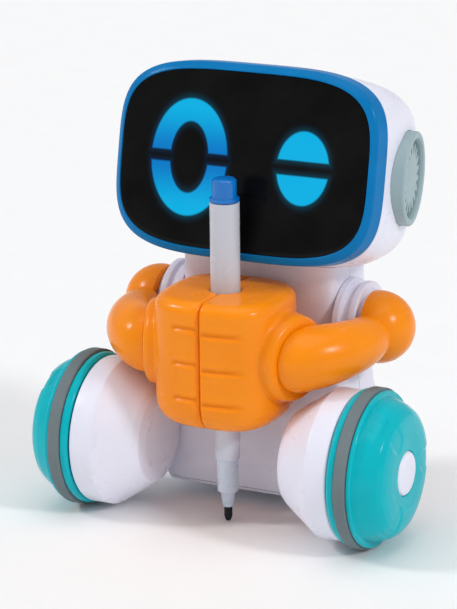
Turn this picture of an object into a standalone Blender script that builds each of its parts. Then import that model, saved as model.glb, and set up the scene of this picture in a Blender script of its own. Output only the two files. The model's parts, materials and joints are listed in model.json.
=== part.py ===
"""Educational coding robot that draws with a felt-tip pen held in its two hands.

The front faces -Y, +X is the robot's own left side and the ground is z = 0. The origin is on the ground
under the middle of the whole robot. Places are given from the point under the middle of the wheel axle,
where the pen's tip stands, and every part hangs from an empty at that point.
Every named size is in millimetres; MM turns it into Blender's metres when a mesh is made.
"""

import math

import bmesh
import bpy
from mathutils import Vector

MM = 0.001
GAP = 0.3
AXLE_TO_MIDDLE = 24.625
WALL = 2.0
SIDES = (("left", 1), ("right", -1))

# Wheels: distances along X are measured from the middle plane.
WHEEL_RADIUS = 32.0
RIM_RADIUS = 31.0
RIM_INNER_X = 56.6
TYRE_X = (59.9, 64.9)
TYRE_DEPTH = 5.0
DOME_X = 65.2
WHEEL_FACE_X = 77.6
CAP_RADIUS = 8.8
AXLE_RADIUS = 2.0

# White housings on the axle line.
POD_RADIUS = 30.0
POD_OUTER_X = 56.0
POD_BAND_X = 46.7
POD_END_X = 29.6
MOTOR_RADIUS = 12.0

# Body between the housings.
BODY_FRONT_Y = 19.5
TORSO_FRONT_Y = 27.0
TORSO_BACK_Y = 63.0
TORSO_HALF_WIDTH = 34.0
BODY_SPLIT_Y = 44.0
BODY_BOTTOM = 6.0
BODY_POWER = 9.0
BODY_COUNT = 28
# Height, half-width, front and back.
BODY_STATIONS = (
    (BODY_BOTTOM, 39.4, BODY_FRONT_Y + 0.5, 57.0),
    (10.0, 40.5, BODY_FRONT_Y, 60.0),
    (30.0, 42.0, BODY_FRONT_Y, 62.5),
    (40.0, 41.0, BODY_FRONT_Y + 2.0, TORSO_BACK_Y),
    (47.0, 38.6, 26.0, TORSO_BACK_Y),
    (53.0, 37.8, 26.3, TORSO_BACK_Y),
    (58.0, TORSO_HALF_WIDTH, 26.6, TORSO_BACK_Y),
    (66.0, TORSO_HALF_WIDTH, TORSO_FRONT_Y, TORSO_BACK_Y),
    (110.0, TORSO_HALF_WIDTH, TORSO_FRONT_Y, TORSO_BACK_Y),
)
BASE_MIDDLE_Y = 38.5

# Back of the body: pairs are (x, z), triples are (x, y, z).
CUT_Y = (50.0, 70.0)
DOOR_LOW = (-27.0, CUT_Y[0], 15.0)
DOOR_HIGH = (27.0, CUT_Y[1], 48.0)
DOOR_SCREW = (0.0, 44.0)
DOOR_SCREW_LENGTH = 5.0
SHELL_SCREW_LENGTH = 14.0
SHELL_SCREW_X = 27.0
SHELL_SCREW_Z = 90.0
SCREW_HEAD = 2.6
SCREW_SHANK = 1.3
CARD_LOW = (-22.0, 60.3, 80.0)
CARD_HIGH = (22.0, 64.0, 89.0)
CARD_SLOT_HALF = 19.0
CARD_SLOT_Z = (83.0, 86.0)
CONTROL_Z = 71.0
SWITCH_X = -14.0
SWITCH_HALF = (4.0, 1.8)
SWITCH_Y = (60.0, 65.0)
SWITCH_TRAVEL = 3.0
BUTTON_X = 14.0
BUTTON_Y = (60.6, 64.6)
BUTTON_RADIUS = 4.0

# Arms, hands and pen.
SHOULDER_Y = 42.0
SHOULDER_Z = 77.5
SHAFT_RADIUS = 5.0
SHOULDER_FACE_X = 46.0
# Radius, outer end and inner end of each step of a shoulder ring.
SHOULDER_STEPS = ((13.6, 45.7, 43.6), (16.6, 43.6, 40.4), (15.2, 40.4, 37.2), (17.4, 37.2, 34.3))
SHOULDER_CLEARANCE = 17.8
UPPER_ARM_RADIUS = 14.65
UPPER_ARM_CENTRE = (49.1, 38.6, 77.3)
FOREARM_PATH = ((33.5, -3.0), (35.0, -3.4), (50.5, 6.5), (49.6, 28.4))
FOREARM_Z = 73.3
FOREARM_RISE = 2.9
FOREARM_SWELL = 4.2
WRIST_RADIUS = 12.85
ELBOW_RADIUS = 9.1
ELBOW_END = (49.6, 32.4, 76.6)
ELBOW_END_RADIUS = 6.0
CUFF_NORMAL = math.radians(-18.0)
HAND_HALF_X = 25.7
HAND_HALF_Y = 25.0
HAND_BOTTOM = 44.5
HAND_TOP = 97.5
HAND_POWER = 3.0
# Distance behind the cuff's mouth, half-width and half-height.
CUFF_STATIONS = (
    (14.0, 18.6, 17.8),
    (6.0, 17.6, 17.4),
    (2.0, 17.2, 17.2),
    (0.6, 16.4, 16.4),
    (0.0, 14.9, 14.9),
)
PEN_RADIUS = 5.9
PEN_TOP = 142.4
PEN_TIP = 0.3

# Head: built square to its own face, then pitched back.
HEAD_CENTRE = (0.0, 17.6, 144.6)
HEAD_PITCH = math.radians(12.06)
FACE_HALF = (56.1, 38.8)
FACE_POWER = 3.84
SCREEN_HALF = (53.9, 35.3)
SCREEN_POWER = 3.95
BEZEL_DEPTH = 8.2
# Depth, half-width, height above and below the middle, and squareness of the white shell.
HEAD_STATIONS = (
    (BEZEL_DEPTH + GAP, 57.0, 38.6, 39.2, 4.0),
    (20.0, 57.4, 37.2, 39.2, 5.0),
    (32.0, 56.0, 36.0, 38.2, 5.0),
    (42.0, 54.9, 33.3, 36.6, 4.9),
    (51.0, 48.9, 28.0, 30.3, 3.9),
    (58.0, 41.0, 22.8, 23.2, 3.5),
    (62.0, 30.0, 14.5, 14.8, 3.2),
)
# Ears: round, and turned a little toward the back. Places along an ear are from its outer face.
EAR_CENTRE = (59.4, 33.4, -1.2)
EAR_TURN = math.radians(10.0)
EAR_RADIUS = 18.9
EAR_FIELD_RADIUS = 15.0
EAR_SOCKET = (-14.0, 6.0)
EAR_POCKETS = 6
EAR_POCKET_FIRST = math.radians(-52.0)
EAR_POCKET_PITCH = math.radians(20.8)
EAR_POCKET_RADII = (10.6, 14.4)
EAR_POCKET_HALF = (0.5, 1.7)
SPEAKER_DEPTH = 28.0
BOARD_HALF = (44.0, 26.0)
BOARD_DEPTH = (5.0, 6.6)
RING_EYE = (-26.5, 5.0)
DISC_EYE = (27.0, 5.0)
RING_EYE_OUTER = (16.5, 21.0)
RING_EYE_INNER = (8.2, 12.0)
DISC_EYE_OUTER = (12.0, 14.5)
EYE_SLIT_HALF = 1.6
EYE_DEPTH = (0.8, 4.6)

# Lift gears.
GEAR_MODULE = 0.95
GEAR_TEETH = 24
PINION_TEETH = 8
GEAR_SPACING = 15.35
PINION_DIRECTION = math.radians(-68.0)
PRESSURE_ANGLE = math.radians(25.0)
BACKLASH = 0.35
GEAR_HALF_WIDTH = 2.0
PINION_HALF_WIDTH = 2.4
LIFT_MOTOR_RADIUS = 7.0
LIFT_MOTOR_X = (-30.0, -2.7)

# Cells, board and caster.
CELL_RADIUS = 7.0
CELL_HALF_LENGTH = 25.0
CELL_FIRST = (36.9, 24.0)
CELL_PITCH = (14.1, 15.0)
BOX_LOW = (-28.0, 28.6, 15.2)
BOX_HIGH = (28.0, 58.2, 47.8)
BOX_WALL = 1.2
CASTER_RADIUS = 6.0
CASTER_Y = 45.0
CASTER_HOLE = 8.8

# Base colour, roughness and metallic of each material.
LOOKS = {
    "white_plastic": ((0.82, 0.81, 0.86), 0.3, 0.0),
    "orange_plastic": ((1.0, 0.28, 0.02), 0.28, 0.0),
    "teal_plastic": ((0.0, 0.45, 0.47), 0.3, 0.0),
    "blue_plastic": ((0.0, 0.15, 0.5), 0.3, 0.0),
    "screen_lens": ((0.01, 0.01, 0.012), 0.1, 0.0),
    "black_plastic": ((0.02, 0.02, 0.022), 0.4, 0.0),
    "grey_plastic": ((0.35, 0.4, 0.41), 0.45, 0.0),
    "ear_plastic": ((0.32, 0.41, 0.42), 0.4, 0.0),
    "tyre_rubber": ((0.25, 0.26, 0.26), 0.7, 0.0),
    "steel": ((0.6, 0.6, 0.6), 0.3, 1.0),
    "circuit_board": ((0.02, 0.2, 0.06), 0.5, 0.0),
    "cell_jacket": ((0.55, 0.3, 0.08), 0.35, 0.4),
    "eye_light": ((0.05, 0.6, 0.9), 0.5, 0.0),
    "pen_barrel": ((0.85, 0.85, 0.87), 0.3, 0.0),
    "pen_section": ((0.7, 0.7, 0.74), 0.35, 0.0),
    "felt": ((0.05, 0.05, 0.06), 0.9, 0.0),
}

AXLE_POINT = "axle_point"
PARTS = "coding_robot"
CUTTERS = "cutters"


def clear_scene():
    for obj in list(bpy.data.objects):
        bpy.data.objects.remove(obj)
    for name in (PARTS, CUTTERS):
        group = bpy.data.collections.new(name)
        bpy.context.scene.collection.children.link(group)
    bpy.data.collections[CUTTERS].hide_render = True


def look(name):
    """The Principled material of that name, made once."""
    found = bpy.data.materials.get(name)
    if found:
        return found
    colour, roughness, metallic = LOOKS[name]
    made = bpy.data.materials.new(name)
    made.use_nodes = True
    shader = made.node_tree.nodes["Principled BSDF"]
    shader.inputs["Base Color"].default_value = (*colour, 1.0)
    shader.inputs["Roughness"].default_value = roughness
    shader.inputs["Metallic"].default_value = metallic
    made.diffuse_color = (*colour, 1.0)
    return made


def make_axle_point():
    """The empty under the middle of the axle, from which every place is given."""
    point = bpy.data.objects.new(AXLE_POINT, None)
    point.location = (0.0, -AXLE_TO_MIDDLE * MM, 0.0)
    bpy.data.collections[PARTS].objects.link(point)


def link(obj, material=None):
    """Puts an object with a material among the parts, and one without among the cutters."""
    obj.parent = bpy.data.objects[AXLE_POINT]
    if material:
        obj.data.materials.append(look(material))
        bpy.data.collections[PARTS].objects.link(obj)
    else:
        bpy.data.collections[CUTTERS].objects.link(obj)
        obj.hide_render = True
        obj.display_type = "WIRE"
    return obj


def hang(pivot, place, pieces):
    """Hangs pieces that move together from an empty on their joint's axis, where they are."""
    empty = bpy.data.objects.new(pivot, None)
    empty.parent = bpy.data.objects[AXLE_POINT]
    empty.location = Vector(place) * MM
    bpy.data.collections[PARTS].objects.link(empty)
    for name in pieces:
        piece = bpy.data.objects[name]
        piece.parent = empty
        piece.location -= empty.location


def from_bmesh(name, shape, material=None, angle=35.0):
    bmesh.ops.recalc_face_normals(shape, faces=shape.faces)
    mesh = bpy.data.meshes.new(name)
    shape.to_mesh(mesh)
    shape.free()
    mesh.shade_smooth()
    mesh.set_sharp_from_angle(angle=math.radians(angle))
    return link(bpy.data.objects.new(name, mesh), material)


def loft(name, rings, material=None, closed=False):
    """Skins rings of equally many points. The ends are capped, or joined to each other when closed."""
    shape = bmesh.new()
    rows = []
    for ring in rings:
        rows.append([shape.verts.new(Vector(point) * MM) for point in ring])
    pairs = list(zip(rows, rows[1:]))
    if closed:
        pairs.append((rows[-1], rows[0]))
    for first, second in pairs:
        for k in range(len(first)):
            after = (k + 1) % len(first)
            shape.faces.new((first[k], first[after], second[after], second[k]))
    if not closed:
        shape.faces.new(rows[0])
        shape.faces.new(rows[-1])
    return from_bmesh(name, shape, material)


def turned(name, profile, material=None, steps=32, looped=False):
    """Turns (radius, height) pairs, given from the top down the outer side, about the local Z axis."""
    mesh = bpy.data.meshes.new(name)
    count = len(profile)
    edges = [(k, k + 1) for k in range(count - 1)]
    if looped:
        edges.append((count - 1, 0))
    mesh.from_pydata([(radius * MM, 0.0, height * MM) for radius, height in profile], edges, [])
    obj = link(bpy.data.objects.new(name, mesh), material)
    screw = obj.modifiers.new("turn", "SCREW")
    screw.steps = steps
    screw.render_steps = steps
    screw.use_merge_vertices = True
    screw.merge_threshold = 0.00001
    screw.use_smooth_shade = True
    return obj


def along_x(obj, side, y, z):
    """Lays a piece turned about Z along X, with its top facing outward on the given side."""
    obj.rotation_euler = (0.0, side * math.pi / 2, 0.0)
    obj.location = (0.0, y * MM, z * MM)
    return obj


def box(name, low, high, material=None, bevel=0.0):
    shape = bmesh.new()
    bmesh.ops.create_cube(shape, size=1.0)
    middle = [(a + b) / 2 for a, b in zip(low, high)]
    size = [b - a for a, b in zip(low, high)]
    for vert in shape.verts:
        vert.co = Vector([(m + c * s) * MM for m, c, s in zip(middle, vert.co, size)])
    obj = from_bmesh(name, shape, material)
    if bevel:
        rounding = obj.modifiers.new("edges", "BEVEL")
        rounding.width = bevel * MM
        rounding.segments = 2
    return obj


def rod(name, radius, start, end, material=None, steps=24):
    """A cylinder between two points."""
    shape = bmesh.new()
    start = Vector(start) * MM
    end = Vector(end) * MM
    size = radius * MM
    length = (end - start).length
    bmesh.ops.create_cone(shape, cap_ends=True, segments=steps, radius1=size, radius2=size, depth=length)
    turn = (end - start).to_track_quat("Z", "Y").to_matrix().to_4x4()
    bmesh.ops.transform(shape, matrix=turn, verts=shape.verts)
    bmesh.ops.translate(shape, vec=(start + end) / 2, verts=shape.verts)
    return from_bmesh(name, shape, material)


def combine(obj, other, operation="DIFFERENCE"):
    step = obj.modifiers.new(operation.lower(), "BOOLEAN")
    step.operation = operation
    step.solver = "EXACT"
    step.object = other
    return obj


def superellipse(half_u, half_v, power, count):
    points = []
    for k in range(count):
        turn = 2 * math.pi * (k + 0.5) / count
        across = math.copysign(abs(math.cos(turn)) ** (2 / power), math.cos(turn))
        upward = math.copysign(abs(math.sin(turn)) ** (2 / power), math.sin(turn))
        points.append((half_u * across, half_v * upward))
    return points


def body_section(z, grow=0.0):
    """Half-width, front and back of the body at a height."""
    for lower, upper in zip(BODY_STATIONS, BODY_STATIONS[1:]):
        if z <= upper[0]:
            break
    share = (z - lower[0]) / (upper[0] - lower[0])
    half, front, back = (a + (b - a) * share for a, b in zip(lower[1:], upper[1:]))
    return half + grow, front - grow, back + grow


def body_ring(z, grow=0.0):
    half, front, back = body_section(z, grow)
    middle = (front + back) / 2
    ring = superellipse(half, (back - front) / 2, BODY_POWER, BODY_COUNT)
    return [(x, middle + y, z) for x, y in ring]


def make_pod_clearance():
    """The body's form grown by the gap, which each wheel housing is cut back from."""
    return loft("pod_clearance", [body_ring(station[0], GAP) for station in BODY_STATIONS])


def head_place(obj):
    obj.rotation_euler = (-HEAD_PITCH, 0.0, 0.0)
    obj.location = Vector(HEAD_CENTRE) * MM
    return obj


def head_ring(half, power, depth, count=32):
    return [(u, depth, v) for u, v in superellipse(half[0], half[1], power, count)]


def head_rings(grow):
    """The white shell's form, grown outward, and backward too where it closes at the back."""
    rings = []
    for depth, half, above, below, power in HEAD_STATIONS:
        shift = grow if depth > EAR_CENTRE[1] else 0.0
        ring = []
        for u, v in superellipse(half + grow, 1.0, power, 32):
            height = above if v > 0.0 else below
            ring.append((u, depth + shift, v * (height + grow)))
        rings.append(ring)
    return rings


def make_head_rear_shell():
    """An open bowl: the inner skin from back to front, then the outer skin to the back again."""
    rings = head_rings(-WALL)[::-1] + head_rings(0.0)
    return head_place(loft("head_rear_shell", rings, "white_plastic"))


def make_head():
    shell = make_head_rear_shell()
    for name, side in SIDES:
        combine(shell, ear_socket(f"{name}_ear_socket", side))
        make_ear(name, side)
    bezel = [
        head_ring((FACE_HALF[0] + 1.0, FACE_HALF[1] + 0.4), FACE_POWER, BEZEL_DEPTH),
        head_ring((FACE_HALF[0] + 0.3, FACE_HALF[1]), FACE_POWER, 0.6),
        head_ring((FACE_HALF[0] - 0.1, FACE_HALF[1] - 0.5), FACE_POWER, -0.2),
        head_ring((FACE_HALF[0] - 1.9, FACE_HALF[1] - 2.4), FACE_POWER, -1.9),
        head_ring((SCREEN_HALF[0] + GAP, SCREEN_HALF[1] + GAP), SCREEN_POWER, -1.5),
        head_ring((SCREEN_HALF[0] + GAP, SCREEN_HALF[1] + GAP), SCREEN_POWER, 0.4),
        head_ring((SCREEN_HALF[0] - 2.0, SCREEN_HALF[1] - 2.0), SCREEN_POWER, 0.4),
        head_ring((SCREEN_HALF[0] - 2.0, SCREEN_HALF[1] - 2.0), SCREEN_POWER, BEZEL_DEPTH),
    ]
    head_place(loft("head_bezel", bezel, "blue_plastic", closed=True))
    screen = [
        head_ring((SCREEN_HALF[0] - 0.3, SCREEN_HALF[1] - 0.3), SCREEN_POWER, -1.6),
        head_ring(SCREEN_HALF, SCREEN_POWER, -1.3),
        head_ring(SCREEN_HALF, SCREEN_POWER, 0.1),
    ]
    head_place(loft("head_screen", screen, "screen_lens"))
    low = (-BOARD_HALF[0], BOARD_DEPTH[0], -BOARD_HALF[1])
    high = (BOARD_HALF[0], BOARD_DEPTH[1], BOARD_HALF[1])
    head_place(box("face_light_board", low, high, "circuit_board"))
    make_eye_lights()
    make_speaker()


def half_ring(centre, outer, inner, upper, depth, steps=10):
    """Outline of half an oval ring, or of half an oval when inner is zero, with a slit at mid height."""
    turn = 1 if upper else -1
    slit = turn * EYE_SLIT_HALF
    points = []
    for k in range(steps + 1):
        angle = math.pi * k / steps
        points.append((outer[0] * math.cos(angle), slit + turn * outer[1] * math.sin(angle)))
    if inner:
        for k in range(steps, -1, -1):
            angle = math.pi * k / steps
            points.append((inner[0] * math.cos(angle), slit + turn * inner[1] * math.sin(angle)))
    return [(centre[0] + u, depth, centre[1] + v) for u, v in points]


def make_eye_lights():
    eyes = (
        ("right_eye", RING_EYE, RING_EYE_OUTER, RING_EYE_INNER),
        ("left_eye", DISC_EYE, DISC_EYE_OUTER, None),
    )
    for eye, centre, outer, inner in eyes:
        for part, upper in (("upper", True), ("lower", False)):
            rings = [half_ring(centre, outer, inner, upper, depth) for depth in EYE_DEPTH]
            head_place(loft(f"{eye}_{part}_light", rings, "eye_light"))


def ear_point(side, out, back, up):
    """A point of the head, from an ear's own directions: outward, backward and up."""
    u = EAR_CENTRE[0] + out * math.cos(EAR_TURN) - back * math.sin(EAR_TURN)
    depth = EAR_CENTRE[1] + out * math.sin(EAR_TURN) + back * math.cos(EAR_TURN)
    return side * u, depth, EAR_CENTRE[2] + up


def ear_rings(side, stations, count=32):
    """Circles about an ear's own axis, at (distance outward, radius) pairs."""
    rings = []
    for out, radius in stations:
        turns = [2 * math.pi * k / count for k in range(count)]
        rings.append([ear_point(side, out, radius * math.cos(a), radius * math.sin(a)) for a in turns])
    return rings


def ear_socket(name, side):
    return head_place(loft(name, ear_rings(side, [(out, EAR_RADIUS + GAP) for out in EAR_SOCKET])))


def ear_pocket(name, side, turn):
    """A wedge that widens outward, for cutting one pocket behind the middle of the field."""
    rings = []
    for out in (-3.2, 3.0):
        ring = []
        for radius, half, way in (
            (EAR_POCKET_RADII[0], EAR_POCKET_HALF[0], -1),
            (EAR_POCKET_RADII[1], EAR_POCKET_HALF[1], -1),
            (EAR_POCKET_RADII[1], EAR_POCKET_HALF[1], 1),
            (EAR_POCKET_RADII[0], EAR_POCKET_HALF[0], 1),
        ):
            back = radius * math.cos(turn) - way * half * math.sin(turn)
            up = radius * math.sin(turn) + way * half * math.cos(turn)
            ring.append(ear_point(side, out, back, up))
        rings.append(ring)
    return head_place(loft(name, rings))


def make_ear(name, side):
    """A raised ring round a recessed field with pockets along its back edge."""
    stations = (
        (-7.5, EAR_RADIUS),
        (-1.2, EAR_RADIUS),
        (0.0, EAR_RADIUS - 1.2),
        (0.0, EAR_RADIUS - 2.9),
        (-1.5, EAR_FIELD_RADIUS),
    )
    ear = head_place(loft(f"{name}_ear_grille", ear_rings(side, stations), "ear_plastic"))
    for k in range(EAR_POCKETS):
        turn = EAR_POCKET_FIRST + EAR_POCKET_PITCH * k
        combine(ear, ear_pocket(f"{name}_ear_pocket_{k + 1}", side, turn))


def x_discs(stations, depth, count=24):
    """Circles across the head's width, for loft, at (distance from the middle, radius) pairs."""
    rings = []
    for x, radius in stations:
        ring = []
        for k in range(count):
            turn = 2 * math.pi * k / count
            ring.append((x, depth + radius * math.cos(turn), radius * math.sin(turn)))
        rings.append(ring)
    return rings


def make_speaker():
    stations = ((36.0, 7.0), (40.0, 7.0), (45.0, 12.5), (47.0, 12.5))
    head_place(loft("speaker", x_discs(stations, SPEAKER_DEPTH), "black_plastic"))


def shell_half(name, front):
    """One half of the body: a strip of the outer skin thickened inward."""
    shape = bmesh.new()
    rows = []
    for z in (BODY_BOTTOM + 1.8, *[station[0] for station in BODY_STATIONS[1:]]):
        ring = body_ring(z)
        half = body_section(z)[0]
        if front:
            strip = ring[BODY_COUNT // 2 :]
            split = BODY_SPLIT_Y - GAP / 2
            strip = [(-half, split, z)] + strip + [(half, split, z)]
        else:
            strip = ring[: BODY_COUNT // 2]
            split = BODY_SPLIT_Y + GAP / 2
            strip = [(half, split, z)] + strip + [(-half, split, z)]
        rows.append([shape.verts.new(Vector(point) * MM) for point in strip])
    for lower, upper in zip(rows, rows[1:]):
        for k in range(len(lower) - 1):
            shape.faces.new((lower[k], lower[k + 1], upper[k + 1], upper[k]))
    obj = from_bmesh(name, shape, "white_plastic")
    wall = obj.modifiers.new("wall", "SOLIDIFY")
    wall.thickness = WALL * MM
    wall.offset = -1.0
    return obj


def grown(low, high, grow):
    return [a - grow for a in low], [b + grow for b in high]


def y_rod(name, radius, x, z, ends=CUT_Y, material=None, steps=20):
    return rod(name, radius, (x, ends[0], z), (x, ends[1], z), material, steps)


def make_body():
    front = shell_half("body_front_shell", True)
    rear = shell_half("body_rear_shell", False)
    door = shell_half("battery_door", False)
    head_space = head_place(loft("head_space", head_rings(GAP)))
    ends = [(side * 60.0, SHOULDER_Y, SHOULDER_Z) for side in (-1, 1)]
    shaft_hole = rod("shaft_hole", SHAFT_RADIUS + GAP, *ends)
    for shell in (front, rear):
        combine(shell, head_space)
        combine(shell, shaft_hole)
    combine(door, box("door_outline", DOOR_LOW, DOOR_HIGH), "INTERSECT")
    combine(door, y_rod("door_screw_hole", SCREW_HEAD + GAP, *DOOR_SCREW))
    slide = SWITCH_HALF[0] + SWITCH_TRAVEL
    switch_low = (SWITCH_X - slide, CUT_Y[0], CONTROL_Z - SWITCH_HALF[1])
    switch_high = (SWITCH_X + slide, CUT_Y[1], CONTROL_Z + SWITCH_HALF[1])
    openings = [
        box("door_opening", *grown(DOOR_LOW, DOOR_HIGH, GAP)),
        box("card_opening", *grown(CARD_LOW, CARD_HIGH, GAP)),
        box("switch_opening", *grown(switch_low, switch_high, GAP)),
        y_rod("button_opening", BUTTON_RADIUS + GAP, BUTTON_X, CONTROL_Z),
    ]
    for name, side in SIDES:
        place = (side * SHELL_SCREW_X, SHELL_SCREW_Z)
        openings.append(y_rod(f"{name}_screw_hole", SCREW_HEAD + GAP, *place))
        make_screw(f"{name}_shell_screw", *place, SHELL_SCREW_LENGTH)
    for opening in openings:
        combine(rear, opening)
    make_screw("battery_door_screw", *DOOR_SCREW, DOOR_SCREW_LENGTH)
    make_base_plate()


def make_screw(name, x, z, length):
    top = TORSO_BACK_Y - 0.6
    profile = [
        (0.0, top),
        (SCREW_HEAD, top),
        (SCREW_HEAD, top - 1.4),
        (SCREW_SHANK, top - 1.9),
        (SCREW_SHANK, top - length),
        (0.0, top - length),
    ]
    screw = turned(name, profile, "steel", 12)
    screw.rotation_euler = (-math.pi / 2, 0.0, 0.0)
    screw.location = (x * MM, 0.0, z * MM)


def make_base_plate():
    rings = []
    for rise, scale in ((0.0, 0.97), (0.7, 1.0), (1.5, 1.0)):
        ring = []
        for x, y, z in body_ring(BODY_BOTTOM):
            ring.append((x * scale, BASE_MIDDLE_Y + (y - BASE_MIDDLE_Y) * scale, z + rise))
        rings.append(ring)
    plate = loft("base_plate", rings, "white_plastic")
    combine(plate, rod("caster_opening", CASTER_HOLE, (0.0, CASTER_Y, 0.0), (0.0, CASTER_Y, 20.0)))


def make_caster():
    cup = [
        (0.0, 14.2),
        (7.0, 14.2),
        (8.5, 12.0),
        (8.5, 9.3),
        (10.8, 9.3),
        (10.8, 7.8),
        (8.5, 7.8),
        (8.5, 4.6),
        (8.0, 4.2),
        (6.3, 4.2),
        (6.5, 6.0),
        (5.9, 9.0),
        (3.8, 11.4),
        (0.0, 12.6),
    ]
    socket = turned("caster_socket", cup, "black_plastic", 16)
    socket.location = (0.0, CASTER_Y * MM, 0.0)
    shape = bmesh.new()
    bmesh.ops.create_uvsphere(shape, u_segments=16, v_segments=10, radius=CASTER_RADIUS * MM)
    ball = from_bmesh("caster_ball", shape, "steel")
    ball.location = (0.0, CASTER_Y * MM, CASTER_RADIUS * MM)


def make_power():
    tray = box("battery_box", BOX_LOW, BOX_HIGH, "black_plastic")
    room_low = [edge + BOX_WALL for edge in BOX_LOW]
    room_high = [BOX_HIGH[0] - BOX_WALL, CUT_Y[1], BOX_HIGH[2] - BOX_WALL]
    combine(tray, box("battery_room", room_low, room_high))
    top = CELL_HALF_LENGTH
    profile = [
        (0.0, top),
        (2.6, top),
        (2.6, top - 1.2),
        (CELL_RADIUS, top - 1.5),
        (CELL_RADIUS, -top),
        (0.0, -top),
    ]
    for k in range(4):
        column = k % 2
        row = k // 2
        y = CELL_FIRST[0] + CELL_PITCH[0] * column
        z = CELL_FIRST[1] + CELL_PITCH[1] * row
        facing = 1 if column else -1
        along_x(turned(f"battery_{k + 1}", profile, "cell_jacket", 16), facing, y, z)
    box("main_board", (-23.0, 57.4, 64.0), (23.0, 59.0, 95.0), "circuit_board")


def make_controls():
    frame = box("card_slot_frame", CARD_LOW, CARD_HIGH, "teal_plastic", 0.6)
    slot_low = (-CARD_SLOT_HALF, CUT_Y[0], CARD_SLOT_Z[0])
    slot_high = (CARD_SLOT_HALF, CUT_Y[1], CARD_SLOT_Z[1])
    combine(frame, box("card_slot", slot_low, slot_high))
    low = (SWITCH_X - SWITCH_HALF[0], SWITCH_Y[0], CONTROL_Z - SWITCH_HALF[1])
    high = (SWITCH_X + SWITCH_HALF[0], SWITCH_Y[1], CONTROL_Z + SWITCH_HALF[1])
    box("power_switch", low, high, "orange_plastic", 0.5)
    y_rod("go_button", BUTTON_RADIUS, BUTTON_X, CONTROL_Z, BUTTON_Y, "orange_plastic", 24)


def make_pod(name, side):
    cup = [
        (0.0, 31.4),
        (12.6, 31.9),
        (15.8, 33.6),
        (27.9, 48.0),
        (28.0, POD_OUTER_X),
        (POD_RADIUS, POD_OUTER_X),
        (POD_RADIUS, POD_BAND_X),
        (24.1, 38.0),
        (20.4, 32.6),
        (18.6, 30.6),
        (14.0, POD_END_X),
        (0.0, POD_END_X),
    ]
    pod = along_x(turned(f"{name}_wheel_pod", cup, "white_plastic", 28), side, 0.0, WHEEL_RADIUS)
    combine(pod, bpy.data.objects["pod_clearance"])


def make_drive(name, side):
    motor = [
        (0.0, 43.6),
        (AXLE_RADIUS + GAP, 43.6),
        (AXLE_RADIUS + GAP, 50.3),
        (MOTOR_RADIUS, 50.3),
        (MOTOR_RADIUS, 36.5),
        (10.0, 34.5),
        (0.0, 34.5),
    ]
    along_x(turned(f"{name}_drive_motor", motor, "steel", 24), side, 0.0, WHEEL_RADIUS)
    plate = [(27.6, 52.2), (27.6, 50.6), (AXLE_RADIUS + GAP, 50.6), (AXLE_RADIUS + GAP, 52.2)]
    disc = turned(f"{name}_motor_plate", plate, "grey_plastic", 28, looped=True)
    along_x(disc, side, 0.0, WHEEL_RADIUS)


def make_wheel(name, side):
    bore = AXLE_RADIUS + GAP
    rim = [
        (26.7, TYRE_X[1]),
        (26.7, 59.6),
        (RIM_RADIUS, 59.6),
        (RIM_RADIUS, 57.6),
        (30.2, RIM_INNER_X),
        (28.6, RIM_INNER_X),
        (28.6, 58.6),
        (6.0, 58.6),
        (6.0, 56.8),
        (bore, 56.8),
        (bore, 60.6),
        (25.0, 60.6),
        (25.0, TYRE_X[1]),
    ]
    tyre = [
        (31.6, TYRE_X[1]),
        (WHEEL_RADIUS, TYRE_X[1] - 0.4),
        (WHEEL_RADIUS, TYRE_X[0] + 0.4),
        (31.6, TYRE_X[0]),
        (WHEEL_RADIUS - TYRE_DEPTH, TYRE_X[0]),
        (WHEEL_RADIUS - TYRE_DEPTH, TYRE_X[1]),
    ]
    dome = [
        (0.0, 75.0),
        (CAP_RADIUS + GAP, 75.0),
        (CAP_RADIUS + GAP, WHEEL_FACE_X),
        (16.0, 77.8),
        (20.0, 77.6),
        (22.8, 76.9),
        (25.0, 75.2),
        (26.8, 72.4),
        (28.2, 69.0),
        (28.9, 66.9),
        (30.6, 66.9),
        (RIM_RADIUS, 66.5),
        (RIM_RADIUS, DOME_X),
        (27.0, DOME_X),
        (24.5, 70.2),
        (17.5, 73.4),
        (5.0, 73.4),
        (5.0, DOME_X),
        (bore, DOME_X),
        (bore, 73.4),
        (0.0, 73.4),
    ]
    cap = [
        (0.0, 78.6),
        (6.0, 78.4),
        (8.2, 77.9),
        (CAP_RADIUS, 77.1),
        (CAP_RADIUS, 75.3),
        (0.0, 75.3),
    ]
    axle = [(0.0, 73.0), (AXLE_RADIUS, 73.0), (AXLE_RADIUS, 44.0), (0.0, 44.0)]
    pieces = (
        ("wheel_rim", rim, "teal_plastic", 28, True),
        ("tyre", tyre, "tyre_rubber", 28, True),
        ("wheel_dome", dome, "teal_plastic", 28, False),
        ("wheel_cap", cap, "white_plastic", 20, False),
        ("axle", axle, "steel", 12, False),
    )
    for piece, profile, material, steps, looped in pieces:
        obj = turned(f"{name}_{piece}", profile, material, steps, looped)
        along_x(obj, side, 0.0, WHEEL_RADIUS)


def bezier(path, share):
    """A point and its direction on the plan curve of the forearm."""
    rest = 1.0 - share
    weights = (rest**3, 3 * rest**2 * share, 3 * rest * share**2, share**3)
    slopes = (-(rest**2), rest**2 - 2 * rest * share, 2 * rest * share - share**2, share**2)
    point = [sum(w * p[axis] for w, p in zip(weights, path)) for axis in (0, 1)]
    slope = [sum(w * p[axis] for w, p in zip(slopes, path)) for axis in (0, 1)]
    length = math.hypot(*slope)
    return point, (slope[0] / length, slope[1] / length)


def tube_ring(side, centre, direction, radius, z, count=18, height=None):
    """A ring square to a level direction."""
    height = height or radius
    ring = []
    for k in range(count):
        turn = 2 * math.pi * k / count
        level = radius * math.cos(turn)
        x = centre[0] + direction[1] * level
        y = centre[1] - direction[0] * level
        ring.append((side * x, y, z + height * math.sin(turn)))
    return ring


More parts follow.
